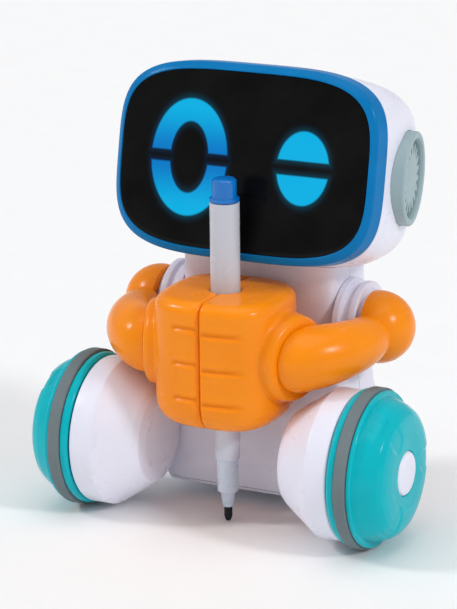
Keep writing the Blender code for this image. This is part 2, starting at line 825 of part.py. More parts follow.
def shoulder_clearance(name, side):
    """The room of a shoulder ring, out to the inner face of the arm."""
    ends = [(side * x, SHOULDER_Y, SHOULDER_Z) for x in (20.0, SHOULDER_FACE_X)]
    return rod(f"{name}_shoulder_room", SHOULDER_CLEARANCE, *ends)


def make_arm(name, side):
    start = (math.cos(CUFF_NORMAL), math.sin(CUFF_NORMAL))
    behind = [FOREARM_PATH[0][axis] - start[axis] for axis in (0, 1)]
    rings = [tube_ring(side, behind, start, WRIST_RADIUS, FOREARM_Z)]
    for share in (0.2, 0.36, 0.52, 0.68, 0.84, 1.0):
        point, direction = bezier(FOREARM_PATH, share)
        radius = WRIST_RADIUS + (ELBOW_RADIUS - WRIST_RADIUS) * share
        radius += FOREARM_SWELL * share * (1.0 - share)
        rings.append(tube_ring(side, point, direction, radius, FOREARM_Z + FOREARM_RISE * share))
    rings.append(tube_ring(side, ELBOW_END[:2], (0.0, 1.0), ELBOW_END_RADIUS, ELBOW_END[2]))
    arm = loft(f"{name}_arm", rings, "orange_plastic")
    mouth = (side * FOREARM_PATH[0][0], FOREARM_PATH[0][1], FOREARM_Z)
    inside = [mouth[0] - side * 30.0 * start[0], mouth[1] - 30.0 * start[1], FOREARM_Z]
    combine(arm, rod(f"{name}_wrist_trim", 32.0, inside, mouth))
    combine(arm, shoulder_clearance(name, side))
    shape = bmesh.new()
    bmesh.ops.create_uvsphere(shape, u_segments=18, v_segments=10, radius=UPPER_ARM_RADIUS * MM)
    x, y, z = UPPER_ARM_CENTRE
    bmesh.ops.translate(shape, vec=Vector((side * x, y, z)) * MM, verts=shape.verts)
    blob = from_bmesh(f"{name}_upper_arm_form", shape)
    low, high = sorted((side * 20.0, side * SHOULDER_FACE_X))
    combine(blob, box(f"{name}_shoulder_trim", (low, 20.0, 50.0), (high, 70.0, 110.0)))
    combine(arm, blob, "UNION")


def hand_section(side, inset, z, count=14):
    """Half of the plan of the clasped hands, with half of the pen's hole in its straight side."""
    half_x = HAND_HALF_X - inset
    half_y = HAND_HALF_Y - inset
    flat = GAP / 2
    ring = []
    for k in range(count + 1):
        turn = math.pi * (k / count - 0.5)
        x = max(half_x * abs(math.cos(turn)) ** (2 / HAND_POWER), flat)
        y = math.copysign(half_y * abs(math.sin(turn)) ** (2 / HAND_POWER), math.sin(turn))
        ring.append((side * x, y, z))
    hole = PEN_RADIUS + GAP
    steps = 6
    for k in range(steps + 1):
        turn = math.pi * (0.5 - k / steps)
        ring.append((side * max(hole * math.cos(turn), flat), hole * math.sin(turn), z))
    return ring


def make_hand(name, side):
    stations = (
        (HAND_BOTTOM, 7.0),
        (HAND_BOTTOM + 1.2, 3.8),
        (HAND_BOTTOM + 3.6, 1.4),
        (HAND_BOTTOM + 7.5, 0.0),
        (HAND_TOP - 4.5, 0.0),
        (HAND_TOP - 1.6, 1.3),
        (HAND_TOP - 0.3, 3.2),
        (HAND_TOP, 4.8),
    )
    sections = [hand_section(side, inset, z) for z, inset in stations]
    hand = loft(f"{name}_hand", sections, "orange_plastic")
    normal = (math.cos(CUFF_NORMAL), math.sin(CUFF_NORMAL))
    mouth = [FOREARM_PATH[0][axis] - GAP * normal[axis] for axis in (0, 1)]
    rings = []
    for back, level, height in CUFF_STATIONS:
        centre = [mouth[axis] - back * normal[axis] for axis in (0, 1)]
        rings.append(tube_ring(side, centre, normal, level, FOREARM_Z, 18, height))
    combine(hand, loft(f"{name}_cuff_form", rings), "UNION")


def gear_outline(teeth, phase, steps=1):
    """Involute teeth, thinned by the backlash."""
    pitch = GEAR_MODULE * teeth / 2
    base = pitch * math.cos(PRESSURE_ANGLE)
    root = pitch - 1.25 * GEAR_MODULE
    tip = pitch + 0.9 * GEAR_MODULE
    involute = math.tan(PRESSURE_ANGLE) - PRESSURE_ANGLE
    half = math.pi / (2 * teeth) + involute - BACKLASH / (2 * pitch)
    flank = [(root, half)]
    for k in range(steps + 1):
        radius = max(base, root) + (tip - max(base, root)) * k / steps
        tilt = math.acos(min(1.0, base / radius))
        flank.append((radius, half - (math.tan(tilt) - tilt)))
    outline = []
    for tooth in range(teeth):
        middle = phase + 2 * math.pi * tooth / teeth
        for radius, spread in flank:
            outline.append((radius, middle - spread))
        for radius, spread in reversed(flank):
            outline.append((radius, middle + spread))
    return [(radius * math.cos(turn), radius * math.sin(turn)) for radius, turn in outline]


def gear(name, teeth, centre, phase, half_width, material):
    rings = []
    for x in (-half_width, half_width):
        rings.append([(x, centre[0] + y, centre[1] + z) for y, z in gear_outline(teeth, phase)])
    return loft(name, rings, material)


def pinion_centre():
    y = SHOULDER_Y + GEAR_SPACING * math.cos(PINION_DIRECTION)
    z = SHOULDER_Z + GEAR_SPACING * math.sin(PINION_DIRECTION)
    return y, z


def make_lift():
    shaft_ends = [(side * (SHOULDER_FACE_X - GAP), SHOULDER_Y, SHOULDER_Z) for side in (-1, 1)]
    rod("arm_shaft", SHAFT_RADIUS, *shaft_ends, "steel", 24)
    shoulder = (SHOULDER_Y, SHOULDER_Z)
    wheel = gear("lift_gear", GEAR_TEETH, shoulder, PINION_DIRECTION, GEAR_HALF_WIDTH, "grey_plastic")
    bore_ends = [(side * 5.0, SHOULDER_Y, SHOULDER_Z) for side in (-1, 1)]
    combine(wheel, rod("lift_gear_bore", SHAFT_RADIUS + 0.1, *bore_ends))
    y, z = pinion_centre()
    facing = PINION_DIRECTION + math.pi + math.pi / PINION_TEETH
    gear("lift_pinion", PINION_TEETH, (y, z), facing, PINION_HALF_WIDTH, "steel")
    motor_ends = [(x, y, z) for x in LIFT_MOTOR_X]
    rod("lift_motor", LIFT_MOTOR_RADIUS, *motor_ends, "steel", 24)
    ring = []
    for radius, outer_x, inner_x in SHOULDER_STEPS:
        ring += [(radius, outer_x), (radius, inner_x)]
    ring += [(SHAFT_RADIUS + GAP, SHOULDER_STEPS[-1][2]), (SHAFT_RADIUS + GAP, SHOULDER_STEPS[0][1])]
    for name, side in SIDES:
        collar = turned(f"{name}_shoulder_ring", ring, "white_plastic", 24, looped=True)
        along_x(collar, side, SHOULDER_Y, SHOULDER_Z)


def make_pen():
    barrel = [(PEN_RADIUS, 133.0), (PEN_RADIUS, 50.0), (5.0, 50.0), (5.0, 133.0)]
    turned("pen_barrel", barrel, "pen_barrel", 16, looped=True)
    plug = [
        (0.0, PEN_TOP),
        (4.0, PEN_TOP),
        (4.85, PEN_TOP - 0.8),
        (4.85, 135.0),
        (PEN_RADIUS, 134.6),
        (PEN_RADIUS, 133.3),
        (4.7, 133.3),
        (4.7, 127.0),
        (0.0, 127.0),
    ]
    turned("pen_end_plug", plug, "blue_plastic", 16)
    section = [
        (4.7, 56.0),
        (4.7, 49.7),
        (5.5, 49.7),
        (4.9, 27.4),
        (4.25, 27.0),
        (4.25, 13.4),
        (3.0, 12.9),
        (2.1, 6.8),
        (1.9, 6.8),
        (1.9, 12.0),
        (3.7, 18.0),
        (3.7, 56.0),
    ]
    turned("pen_front_section", section, "pen_section", 16, looped=True)
    nib = [(0.0, 24.0), (1.65, 24.0), (1.65, 2.6), (1.1, 0.9), (0.0, PEN_TIP)]
    turned("pen_nib", nib, "felt", 12)
    ink = [(0.0, 126.0), (3.4, 126.0), (3.4, 24.3), (0.0, 24.3)]
    turned("pen_ink_reservoir", ink, "felt", 12)


def hang_moving_pieces():
    for name, side in SIDES:
        wheel = [f"{name}_{piece}" for piece in ("wheel_rim", "tyre", "wheel_dome", "wheel_cap", "axle")]
        hang(f"{name}_wheel_pivot", (side * (RIM_INNER_X + DOME_X) / 2, 0.0, WHEEL_RADIUS), wheel)
    hang("caster_pivot", (0.0, CASTER_Y, CASTER_RADIUS), ["caster_ball"])
    arms = ["left_arm", "right_arm", "left_hand", "right_hand", "arm_shaft", "lift_gear"]
    hang("arm_pivot", (0.0, SHOULDER_Y, SHOULDER_Z), arms)
    hang("pinion_pivot", (0.0, *pinion_centre()), ["lift_pinion"])
    pen = ["barrel", "end_plug", "front_section", "nib", "ink_reservoir"]
    hang("pen_pivot", (0.0, 0.0, HAND_TOP), [f"pen_{piece}" for piece in pen])
    hang("door_pivot", (0.0, TORSO_BACK_Y, DOOR_HIGH[2]), ["battery_door", "battery_door_screw"])
    hang("switch_pivot", (SWITCH_X, SWITCH_Y[1], CONTROL_Z), ["power_switch"])
    hang("button_pivot", (BUTTON_X, BUTTON_Y[1], CONTROL_Z), ["go_button"])


def main():
    clear_scene()
    make_axle_point()
    make_body()
    make_pod_clearance()
    make_caster()
    make_power()
    make_controls()
    for name, side in SIDES:
        make_pod(name, side)
        make_drive(name, side)
        make_wheel(name, side)
        make_arm(name, side)
        make_hand(name, side)
    make_lift()
    make_pen()
    make_head()
    hang_moving_pieces()


main()
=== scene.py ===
"""Looks of the educational coding robot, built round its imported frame.

Pieces are made in millimetres from the point under the middle of the wheel axle, or square to the face,
or square to an ear, and are then placed. The front looks along -Y and the robot's own left is +X.
"""

import json
import math

import bmesh
import bpy
import numpy as np
from mathutils import Matrix, Vector


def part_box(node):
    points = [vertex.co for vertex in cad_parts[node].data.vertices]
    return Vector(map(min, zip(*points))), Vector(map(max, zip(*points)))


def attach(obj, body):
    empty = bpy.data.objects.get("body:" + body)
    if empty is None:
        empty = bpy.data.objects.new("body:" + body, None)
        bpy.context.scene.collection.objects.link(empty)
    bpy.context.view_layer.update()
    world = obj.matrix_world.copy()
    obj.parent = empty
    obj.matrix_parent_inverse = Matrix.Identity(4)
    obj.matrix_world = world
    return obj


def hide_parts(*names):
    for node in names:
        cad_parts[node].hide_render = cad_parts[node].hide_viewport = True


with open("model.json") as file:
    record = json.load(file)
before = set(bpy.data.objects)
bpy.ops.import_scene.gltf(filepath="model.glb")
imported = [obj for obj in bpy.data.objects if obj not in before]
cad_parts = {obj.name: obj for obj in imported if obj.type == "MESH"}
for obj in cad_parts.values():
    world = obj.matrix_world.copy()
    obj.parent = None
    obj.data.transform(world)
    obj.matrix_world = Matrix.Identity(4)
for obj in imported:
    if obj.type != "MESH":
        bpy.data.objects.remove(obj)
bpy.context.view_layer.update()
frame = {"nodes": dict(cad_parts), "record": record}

MM = 0.001
GAP = 0.3
SIDES = (("left", 1), ("right", -1))

TYRE_LOW, TYRE_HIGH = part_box("left_tyre")
AXLE_Y = (TYRE_LOW.y + TYRE_HIGH.y) / 2 / MM
WHEEL_RADIUS = (TYRE_HIGH.z - TYRE_LOW.z) / 2 / MM
HEAD_CENTRE = (0.0, 17.6, 144.6)
HEAD_PITCH = math.radians(12.06)
SHOULDER = (42.0, 77.5)
CASTER_Y = 45.0
PEN_RADIUS = 5.9

AXLE_PLACE = Matrix.Translation((0.0, AXLE_Y * MM, 0.0))
CASTER_PLACE = AXLE_PLACE @ Matrix.Translation((0.0, CASTER_Y * MM, 0.0))
HEAD_TURN = Matrix.Rotation(-HEAD_PITCH, 4, "X")
HEAD_PLACE = AXLE_PLACE @ Matrix.Translation(Vector(HEAD_CENTRE) * MM) @ HEAD_TURN


def srgb(red, green, blue):
    """A colour given as 0 to 255, in linear light."""
    linear = []
    for value in (red, green, blue):
        share = value / 255.0
        linear.append(share / 12.92 if share <= 0.04045 else ((share + 0.055) / 1.055) ** 2.4)
    return (*linear, 1.0)


# Materials

FLOW_SCALE = 45.0
WEAR_SCALE = 160.0
GRAIN_HEIGHT = 0.00012
SOFT_REACH = 0.004


def noise(tree, coord, scale, detail):
    node = tree.nodes.new("ShaderNodeTexNoise")
    node.inputs["Scale"].default_value = scale
    node.inputs["Detail"].default_value = detail
    tree.links.new(coord, node.inputs["Vector"])
    return node.outputs["Fac"]


def spread(tree, value, low, high):
    """Maps the middle of a noise's range to low..high."""
    node = tree.nodes.new("ShaderNodeMapRange")
    node.inputs["From Min"].default_value = 0.3
    node.inputs["From Max"].default_value = 0.7
    node.inputs["To Min"].default_value = low
    node.inputs["To Max"].default_value = high
    tree.links.new(value, node.inputs["Value"])
    return node.outputs["Result"]


def finish_material(
    name, colour, rough, grain=2600.0, bump=0.12, vary=0.05, metallic=0.0, soft=0.0, gloss=0.35
):
    """Moulded finish: a fine grain, faint flow marks in the colour, and uneven gloss from handling."""
    made = bpy.data.materials.new(name)
    made.use_nodes = True
    tree = made.node_tree
    shader = tree.nodes["Principled BSDF"]
    coord = tree.nodes.new("ShaderNodeTexCoord").outputs["Object"]
    ramp = tree.nodes.new("ShaderNodeMix")
    ramp.data_type = "RGBA"
    deep = [channel * (1.0 - vary) for channel in colour[:3]]
    pale = [min(1.0, channel * (1.0 + vary) + 0.004) for channel in colour[:3]]
    ramp.inputs["A"].default_value = (*deep, 1.0)
    ramp.inputs["B"].default_value = (*pale, 1.0)
    flow = spread(tree, noise(tree, coord, FLOW_SCALE, 4.0), 0.0, 1.0)
    tree.links.new(flow, ramp.inputs["Factor"])
    tree.links.new(ramp.outputs["Result"], shader.inputs["Base Color"])
    wear = spread(tree, noise(tree, coord, WEAR_SCALE, 5.0), rough * 0.85, rough * 1.18)
    tree.links.new(wear, shader.inputs["Roughness"])
    shader.inputs["Metallic"].default_value = metallic
    shader.inputs["Specular IOR Level"].default_value = gloss
    if soft:
        shader.inputs["Subsurface Weight"].default_value = soft
        shader.inputs["Subsurface Scale"].default_value = SOFT_REACH
    relief = tree.nodes.new("ShaderNodeBump")
    relief.inputs["Strength"].default_value = bump
    relief.inputs["Distance"].default_value = GRAIN_HEIGHT
    height = noise(tree, coord, grain, 2.0)
    tree.links.new(height, relief.inputs["Height"])
    tree.links.new(relief.outputs["Normal"], shader.inputs["Normal"])
    return made


WHITE = finish_material("white_moulded", srgb(234, 234, 248), 0.3, vary=0.015, bump=0.06, gloss=0.4)
ORANGE = finish_material("orange_moulded", srgb(255, 143, 0), 0.25, vary=0.04, bump=0.08, gloss=0.26)
TEAL = finish_material("teal_moulded", srgb(0, 182, 194), 0.17, bump=0.05, gloss=0.15)
BLUE = finish_material("blue_moulded", srgb(0, 118, 182), 0.22, bump=0.05, gloss=0.1)
EAR = finish_material("ear_moulded", srgb(158, 180, 184), 0.5, bump=0.2)
TYRE = finish_material(
    "tyre_moulded", srgb(112, 124, 128), 0.72, grain=1800.0, bump=0.45, vary=0.06, gloss=0.2
)
BLACK = finish_material("black_moulded", srgb(34, 34, 38), 0.48, vary=0.15, bump=0.3)
GREY = finish_material("grey_moulded", srgb(160, 166, 168), 0.45, vary=0.06, bump=0.15)
STEEL = finish_material(
    "turned_steel", srgb(200, 200, 204), 0.26, grain=3200.0, bump=0.15, vary=0.06, metallic=1.0
)
BOARD = finish_material("solder_mask", srgb(24, 104, 52), 0.4, grain=900.0, bump=0.2, vary=0.12)
CELL = finish_material("cell_foil", srgb(206, 160, 78), 0.32, vary=0.08, metallic=0.6, bump=0.1)
PLUG = finish_material("plug_moulded", srgb(0, 112, 196), 0.18, bump=0.05, gloss=0.5)
BARREL = finish_material("barrel_moulded", srgb(198, 200, 210), 0.25, vary=0.02, bump=0.05, gloss=0.5)
FELT = finish_material("felt_fibre", srgb(28, 28, 34), 0.9, grain=1400.0, bump=0.9, vary=0.3)
LIGHT_GUIDE = finish_material("light_guide", srgb(40, 190, 235), 0.45, vary=0.06, bump=0.2)
# The pen's front section is a milky, slightly clear plastic.
SECTION = finish_material(
    "section_moulded", srgb(206, 210, 224), 0.3, bump=0.03, vary=0.03, soft=0.3, gloss=0.5
)

SLOT_FINISH = {
    "white_plastic": WHITE,
    "orange_plastic": ORANGE,
    "teal_plastic": TEAL,
    "blue_plastic": BLUE,
    "ear_plastic": EAR,
    "tyre_rubber": TYRE,
    "steel": STEEL,
    "black_plastic": BLACK,
    "grey_plastic": GREY,
    "circuit_board": BOARD,
    "cell_jacket": CELL,
    "eye_light": LIGHT_GUIDE,
    "pen_barrel": BARREL,
    "pen_section": SECTION,
    "felt": FELT,
    "screen_lens": BLACK,
}


# Mesh tools

LEAST_RADIUS = 1e-4


def placed(name, mesh, place, sharp):
    """A new object in the scene, smooth but for the edges sharper than the given angle."""
    mesh.shade_smooth()
    mesh.set_sharp_from_angle(angle=math.radians(sharp))
    obj = bpy.data.objects.new(name, mesh)
    bpy.context.scene.collection.objects.link(obj)
    obj.matrix_world = place
    return obj


def solid(name, points, faces, place=AXLE_PLACE, sharp=32.0):
    mesh = bpy.data.meshes.new(name)
    mesh.from_pydata([tuple(Vector(p) * MM) for p in points], [], faces)
    shape = bmesh.new()
    shape.from_mesh(mesh)
    bmesh.ops.remove_doubles(shape, verts=shape.verts, dist=1e-7)
    bmesh.ops.recalc_face_normals(shape, faces=shape.faces)
    shape.to_mesh(mesh)
    shape.free()
    return placed(name, mesh, place, sharp)


def loft(name, rings, place=AXLE_PLACE, closed=False, sharp=32.0):
    """Skins rings of equally many points, capping the ends unless the last ring joins the first."""
    size = len(rings[0])
    points = [p for ring in rings for p in ring]
    faces = []
    count = len(rings)
    for row in range(count if closed else count - 1):
        first = row * size
        second = ((row + 1) % count) * size
        for k in range(size):
            after = (k + 1) % size
            faces.append((first + k, first + after, second + after, second + k))
    if not closed:
        faces.append(tuple(range(size)))
        faces.append(tuple(range((count - 1) * size, count * size)))
    return solid(name, points, faces, place, sharp)


def rounded(profile, radius, closed=False, steps=4):
    """Fillets the corners of a profile. A corner may carry its own radius as a third number."""
    count = len(profile)
    result = []
    for k, corner in enumerate(profile):
        here = np.array(corner[:2], float)
        if not closed and k in (0, count - 1):
            result.append(tuple(here))
            continue
        size = corner[2] if len(corner) > 2 else radius
        before = np.array(profile[k - 1][:2], float) - here
        after = np.array(profile[(k + 1) % count][:2], float) - here
        reach_before = np.linalg.norm(before)
        reach_after = np.linalg.norm(after)
        cosine = float(np.clip(np.dot(before, after) / (reach_before * reach_after), -1.0, 1.0))
        half = math.acos(cosine) / 2
        if size <= 0 or half > math.radians(88):
            result.append(tuple(here))
            continue
        cut = min(size / math.tan(half), 0.45 * reach_before, 0.45 * reach_after)
        start = here + before / reach_before * cut
        end = here + after / reach_after * cut
        for step in range(steps + 1):
            share = step / steps
            point = start * (1 - share) ** 2 + here * 2 * share * (1 - share) + end * share**2
            result.append(tuple(point))
    return result


def turned(name, profile, place, steps=144, closed=False, sharp=32.0):
    """Turns (radius, height) pairs about local Z."""
    rings = []
    for k in range(steps):
        turn = 2 * math.pi * k / steps
        ring = []
        for radius, height in profile:
            radius = max(radius, LEAST_RADIUS)
            ring.append((radius * math.cos(turn), radius * math.sin(turn), height))
        rings.append(ring)
    size = len(profile)
    points = [p for ring in rings for p in ring]
    faces = []
    for k in range(steps):
        first = k * size
        second = ((k + 1) % steps) * size
        for j in range(size if closed else size - 1):
            after = (j + 1) % size
            faces.append((first + j, first + after, second + after, second + j))
    if not closed:
        for end in (0, size - 1):
            if profile[end][0] > LEAST_RADIUS:
                faces.append(tuple(k * size + end for k in range(steps)))
    obj = solid(name, points, faces, place, sharp)
    weld = bmesh.new()
    weld.from_mesh(obj.data)
    bmesh.ops.remove_doubles(weld, verts=weld.verts, dist=1e-6)
    weld.to_mesh(obj.data)
    weld.free()
    return obj


def side_place(side, y, z):
    """Local Z points outward along X on the given side."""
    outward = Matrix.Rotation(side * math.pi / 2, 4, "Y")
    return Matrix.Translation((0.0, (AXLE_Y + y) * MM, z * MM)) @ outward


def back_place(x, z):
    """Local Z points backward."""
    backward = Matrix.Rotation(-math.pi / 2, 4, "X")
    return Matrix.Translation((x * MM, AXLE_Y * MM, z * MM)) @ backward


def outline(half, up, down, power, count=192):
    """A squared oval through evenly spaced directions, as (across, upward) pairs."""
    points = []
    for k in range(count):
        turn = 2 * math.pi * (k + 0.5) / count
        across = math.cos(turn)
        upward = math.sin(turn)
        height = up if upward > 0 else down
        ratio = half / ((up + down) / 2)
        aim = math.atan2(upward / ratio, across)
        c, s = math.cos(aim), math.sin(aim)
        reach = (abs(c / half) ** power + abs(s / height) ** power) ** (-1 / power)
        points.append((reach * c, reach * s))
    return points


def box_solid(name, low, high, bevel=0.0, place=AXLE_PLACE):
    """A box between two corners, with its edges rounded by the bevel."""
    shape = bmesh.new()
    bmesh.ops.create_cube(shape, size=1.0)
    for vert in shape.verts:
        vert.co = Vector([((a + b) / 2 + c * (b - a)) * MM for a, b, c in zip(low, high, vert.co)])
    if bevel:
        edges = shape.edges
        bmesh.ops.bevel(shape, geom=edges, offset=bevel * MM, segments=4, profile=0.5, affect="EDGES")
    mesh = bpy.data.meshes.new(name)
    shape.to_mesh(mesh)
    shape.free()
    return placed(name, mesh, place, 35.0)


def apply_modifiers(obj, sharp=None):
    bpy.context.view_layer.update()
    evaluated = obj.evaluated_get(bpy.context.evaluated_depsgraph_get())
    mesh = bpy.data.meshes.new_from_object(evaluated)
    obj.modifiers.clear()
    obj.data = mesh
    if sharp:
        mesh.shade_smooth()
        mesh.set_sharp_from_angle(angle=math.radians(sharp))


def join_shape(obj, other, operation="DIFFERENCE", sharp=32.0):
    """Cuts, joins or keeps what is common with another shape, which is used up."""
    step = obj.modifiers.new(operation.lower(), "BOOLEAN")
    step.operation = operation
    step.solver = "EXACT"
    step.object = other
    apply_modifiers(obj, sharp)
    bpy.data.objects.remove(other)


def bore(obj, radius, low, high, place, steps, sharp=32.0):
    """Cuts a round hole along the place's local Z."""
    profile = [(0.0, high), (radius, high), (radius, low), (0.0, low)]
    join_shape(obj, turned("bore", profile, place, steps), sharp=sharp)


def show(obj, body, slot, material, *nodes, settle=True):
    """Gives a piece its finish and body. A settled piece has its place in its mesh, as nodes have."""
    if settle:
        obj.data.transform(obj.matrix_world)
        obj.matrix_world = Matrix.Identity(4)
    obj.data.materials.clear()
    obj.data.materials.append(material)
    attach(obj, body)
    if nodes:
        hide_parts(*nodes)


# Head

# Depth, half width, half height above and below, and squareness.
HEAD_STATIONS = (
    (8.5, 57.0, 38.6, 39.2, 4.0),
    (20.0, 57.4, 37.2, 39.2, 5.0),
    (32.0, 56.0, 36.0, 38.2, 5.0),
    (42.0, 54.9, 33.3, 36.6, 4.9),
    (51.0, 48.9, 28.0, 30.3, 3.9),
    (58.0, 41.0, 22.8, 23.2, 3.5),
    (61.0, 34.5, 17.6, 17.8, 3.3),
    (62.0, 29.5, 14.2, 14.5, 3.2),
)
HEAD_FRONT = HEAD_STATIONS[0][0]
HEAD_LAP = (0.96, 0.95)
ROOM_DEPTH = 33.0
BEZEL_POWER = 3.86
SCREEN_HALF = (53.6, 35.4)
SCREEN_POWER = 3.95
SCREEN_EDGE = 0.4
SCREEN_FRONT = -1.45
SCREEN_RINGS = 25
SCREEN_CROWN = 0.35
SCREEN_ROUNDING = 1.6
EAR_CENTRE = (59.4, 33.4, -1.2)
EAR_TURN = math.radians(10.0)
EAR_ROOM = (19.1, -7.8, 8.0)
NOTCHES = 18
NOTCH_HEIGHTS = (-4.6, 2.0)
# Radius and half width of each end of a notch.
NOTCH_ENDS = ((9.6, 0.12), (14.6, 1.9))


def face_ring(half, power, depth):
    return [(u, depth, v) for u, v in outline(half[0], half[1], half[1], power)]


def smooth_table(stations, count):
    """Rows of a table, resampled along its first column by a monotone cubic."""
    table = np.array(stations, float)
    x = table[:, 0]
    rows = np.linspace(x[0], x[-1], count)
    columns = [rows]
    for column in table[:, 1:].T:
        slope = np.diff(column) / np.diff(x)
        tangent = np.zeros(len(x))
        tangent[0] = slope[0]
        tangent[-1] = slope[-1]
        for k in range(1, len(x) - 1):
            if slope[k - 1] * slope[k] > 0:
                tangent[k] = 2 * slope[k - 1] * slope[k] / (slope[k - 1] + slope[k])
        where = np.clip(np.searchsorted(x, rows, side="right") - 1, 0, len(x) - 2)
        width = x[where + 1] - x[where]
        share = (rows - x[where]) / width
        columns.append(
            column[where] * (1 + 2 * share) * (1 - share) ** 2
            + column[where + 1] * share**2 * (3 - 2 * share)
            + tangent[where] * width * share * (1 - share) ** 2
            - tangent[where + 1] * width * share**2 * (1 - share)
        )
    return np.stack(columns, 1)


def head_rings(grow=0.0, count=64):
    """The head shell from its front edge back, grown outward and backward."""
    rings = []
    for depth, half, up, down, power in smooth_table(HEAD_STATIONS, count):
        shift = grow if depth > ROOM_DEPTH else 0.0
        points = outline(half + grow, up + grow, down + grow, power)
        rings.append([(u, depth + shift, v) for u, v in points])
    return rings


def make_head():
    rings = head_rings()
    inner = [(u * HEAD_LAP[0], HEAD_FRONT, v * HEAD_LAP[1]) for u, _, v in rings[0]]
    shell = loft("head_shell", [inner] + rings, HEAD_PLACE)
    for _, side in SIDES:
        bore(shell, *EAR_ROOM, ear_place(side), 144)
    show(shell, "body", "white_plastic", WHITE, "head_rear_shell")


def make_bezel():
    """A closed ring, from half width, half height and depth round its section."""
    profile = (
        (57.1, 39.2, 8.2),
        (57.0, 39.15, 7.9),
        (56.5, 38.8, 1.2),
        (56.35, 38.65, 0.5),
        (56.0, 38.3, 0.0),
        (55.5, 37.8, -0.4),
        (54.5, 36.6, -1.2),
        (54.1, 36.05, -1.5),
        (53.85, 35.75, -1.55),
        (53.7, 35.55, -1.3),
        (53.7, 35.55, 0.5),
        (51.9, 33.3, 0.5),
        (51.9, 33.3, 8.2),
    )
    rings = [face_ring((half, height), BEZEL_POWER, depth) for half, height, depth in profile]
    bezel = loft("face_bezel", rings, HEAD_PLACE, closed=True, sharp=60.0)
    show(bezel, "body", "blue_plastic", BLUE, "head_bezel")


def make_lens():
    """The face's window, with a rounded edge and a slight crown."""
    rings = []
    for inset, depth in ((0.0, 0.2), (0.0, -1.15), (0.12, -1.35), (SCREEN_EDGE, SCREEN_FRONT)):
        half = (SCREEN_HALF[0] - inset, SCREEN_HALF[1] - inset)
        rings.append(face_ring(half, SCREEN_POWER, depth))
    for k in range(1, SCREEN_RINGS):
        scale = 1.0 - k / SCREEN_RINGS
        half = ((SCREEN_HALF[0] - SCREEN_EDGE) * scale, (SCREEN_HALF[1] - SCREEN_EDGE) * scale)
        power = SCREEN_POWER - SCREEN_ROUNDING * (1 - scale)
        rings.append(face_ring(half, power, SCREEN_FRONT - SCREEN_CROWN * (1 - scale**2)))
    lens = loft("face_lens", rings, HEAD_PLACE)
    show(lens, "body", "screen_lens", lens_material(), "head_screen", settle=False)


def ear_place(side):
    centre = Matrix.Translation(Vector((side * EAR_CENTRE[0], EAR_CENTRE[1], EAR_CENTRE[2])) * MM)
    out = Vector((side * math.cos(EAR_TURN), math.sin(EAR_TURN), 0.0))
    up = Vector((0.0, 0.0, 1.0))
    across = up.cross(out)
    turn = Matrix((across, up, out)).transposed().to_4x4()
    return HEAD_PLACE @ centre @ turn


def make_ear(name, side):
    """A raised rim round a recessed field, whose edge is notched all round over a deep channel."""
    place = ear_place(side)
    profile = [
        (0.0, -7.5, 0),
        (18.9, -7.5, 0),
        (18.9, 0.0, 1.1),
        (16.3, 0.0, 0.7),
        (15.7, -1.4, 0.1),
        (15.6, -4.6, 0.2),
        (14.2, -4.6, 0.2),
        (13.9, -1.5, 0.35),
        (0.0, -1.25, 0),
    ]
    ear = turned(f"{name}_ear_body", rounded(profile, 0.3, steps=5), place, 180)
    join_shape(ear, notch_form(place))
    show(ear, "body", "ear_plastic", EAR, f"{name}_ear_grille")


def notch_form(place):
    """The wedges that cut the notches of an ear's field."""
    points = []
    faces = []
    for k in range(NOTCHES):
        turn = 2 * math.pi * (k + 0.5) / NOTCHES
        first = len(points)
        for height in NOTCH_HEIGHTS:
            for radius, half in NOTCH_ENDS:
                for way in (-1, 1):
                    x = radius * math.cos(turn) - way * half * math.sin(turn)
                    y = radius * math.sin(turn) + way * half * math.cos(turn)
                    points.append((x, y, height))
        a, b, c, d, e, f, g, h = range(first, first + 8)
        faces += [(a, b, d, c), (e, f, h, g), (a, b, f, e), (c, d, h, g), (a, c, g, e), (b, d, h, f)]
    return solid("notch_form", points, faces, place)


def math_node(tree, operation, *values):
    node = tree.nodes.new("ShaderNodeMath")
    node.operation = operation
    for socket, value in zip(node.inputs, values):
        if isinstance(value, (int, float)):
            socket.default_value = value
        else:
            tree.links.new(value, socket)
    return node.outputs["Value"]


def oval_reach(tree, across, upward, centre, half):
    """Nearly how far inside an oval's edge a place lies, in metres."""
    squares = []
    for axis, place in enumerate((across, upward)):
        offset = math_node(tree, "SUBTRACT", place, centre[axis] * MM)
        share = math_node(tree, "DIVIDE", offset, half[axis] * MM)
        squares.append(math_node(tree, "MULTIPLY", share, share))
    square = math_node(tree, "ADD", *squares)
    reach = math_node(tree, "SUBTRACT", 1.0, math_node(tree, "SQRT", square))
    return math_node(tree, "MULTIPLY", reach, (half[0] + half[1]) / 2 * MM)


def soft_step(tree, value, low, high):
    """Zero below the low limit and one above the high limit, with a soft rise between."""
    node = tree.nodes.new("ShaderNodeMapRange")
    node.interpolation_type = "SMOOTHSTEP"
    node.inputs["From Min"].default_value = low * MM
    node.inputs["From Max"].default_value = high * MM
    tree.links.new(value, node.inputs["Value"])
    return node.outputs["Result"]


# Centre, outer half-sizes, inner half-sizes and half the height of the dark band of each eye.
EYES = (
    ((-23.3, 0.1), (16.7, 23.3), (8.4, 14.3), 2.35),
    ((26.2, 0.1), (11.1, 14.5), None, 3.0),
)
EYE_EDGE = (-0.45, 0.55)
EYE_HALO = (-4.5, 0.6)
HALO_FALL = 2.5
HALO_LIGHT = 0.09
# The ring of light is deeper towards its middle height, and the disc is all pale.
DEEP_LIGHT = srgb(0, 116, 196)
PALE_LIGHT = srgb(0, 176, 228)
PALE_HEIGHT = 22.0
PALE_ACROSS = 10.0


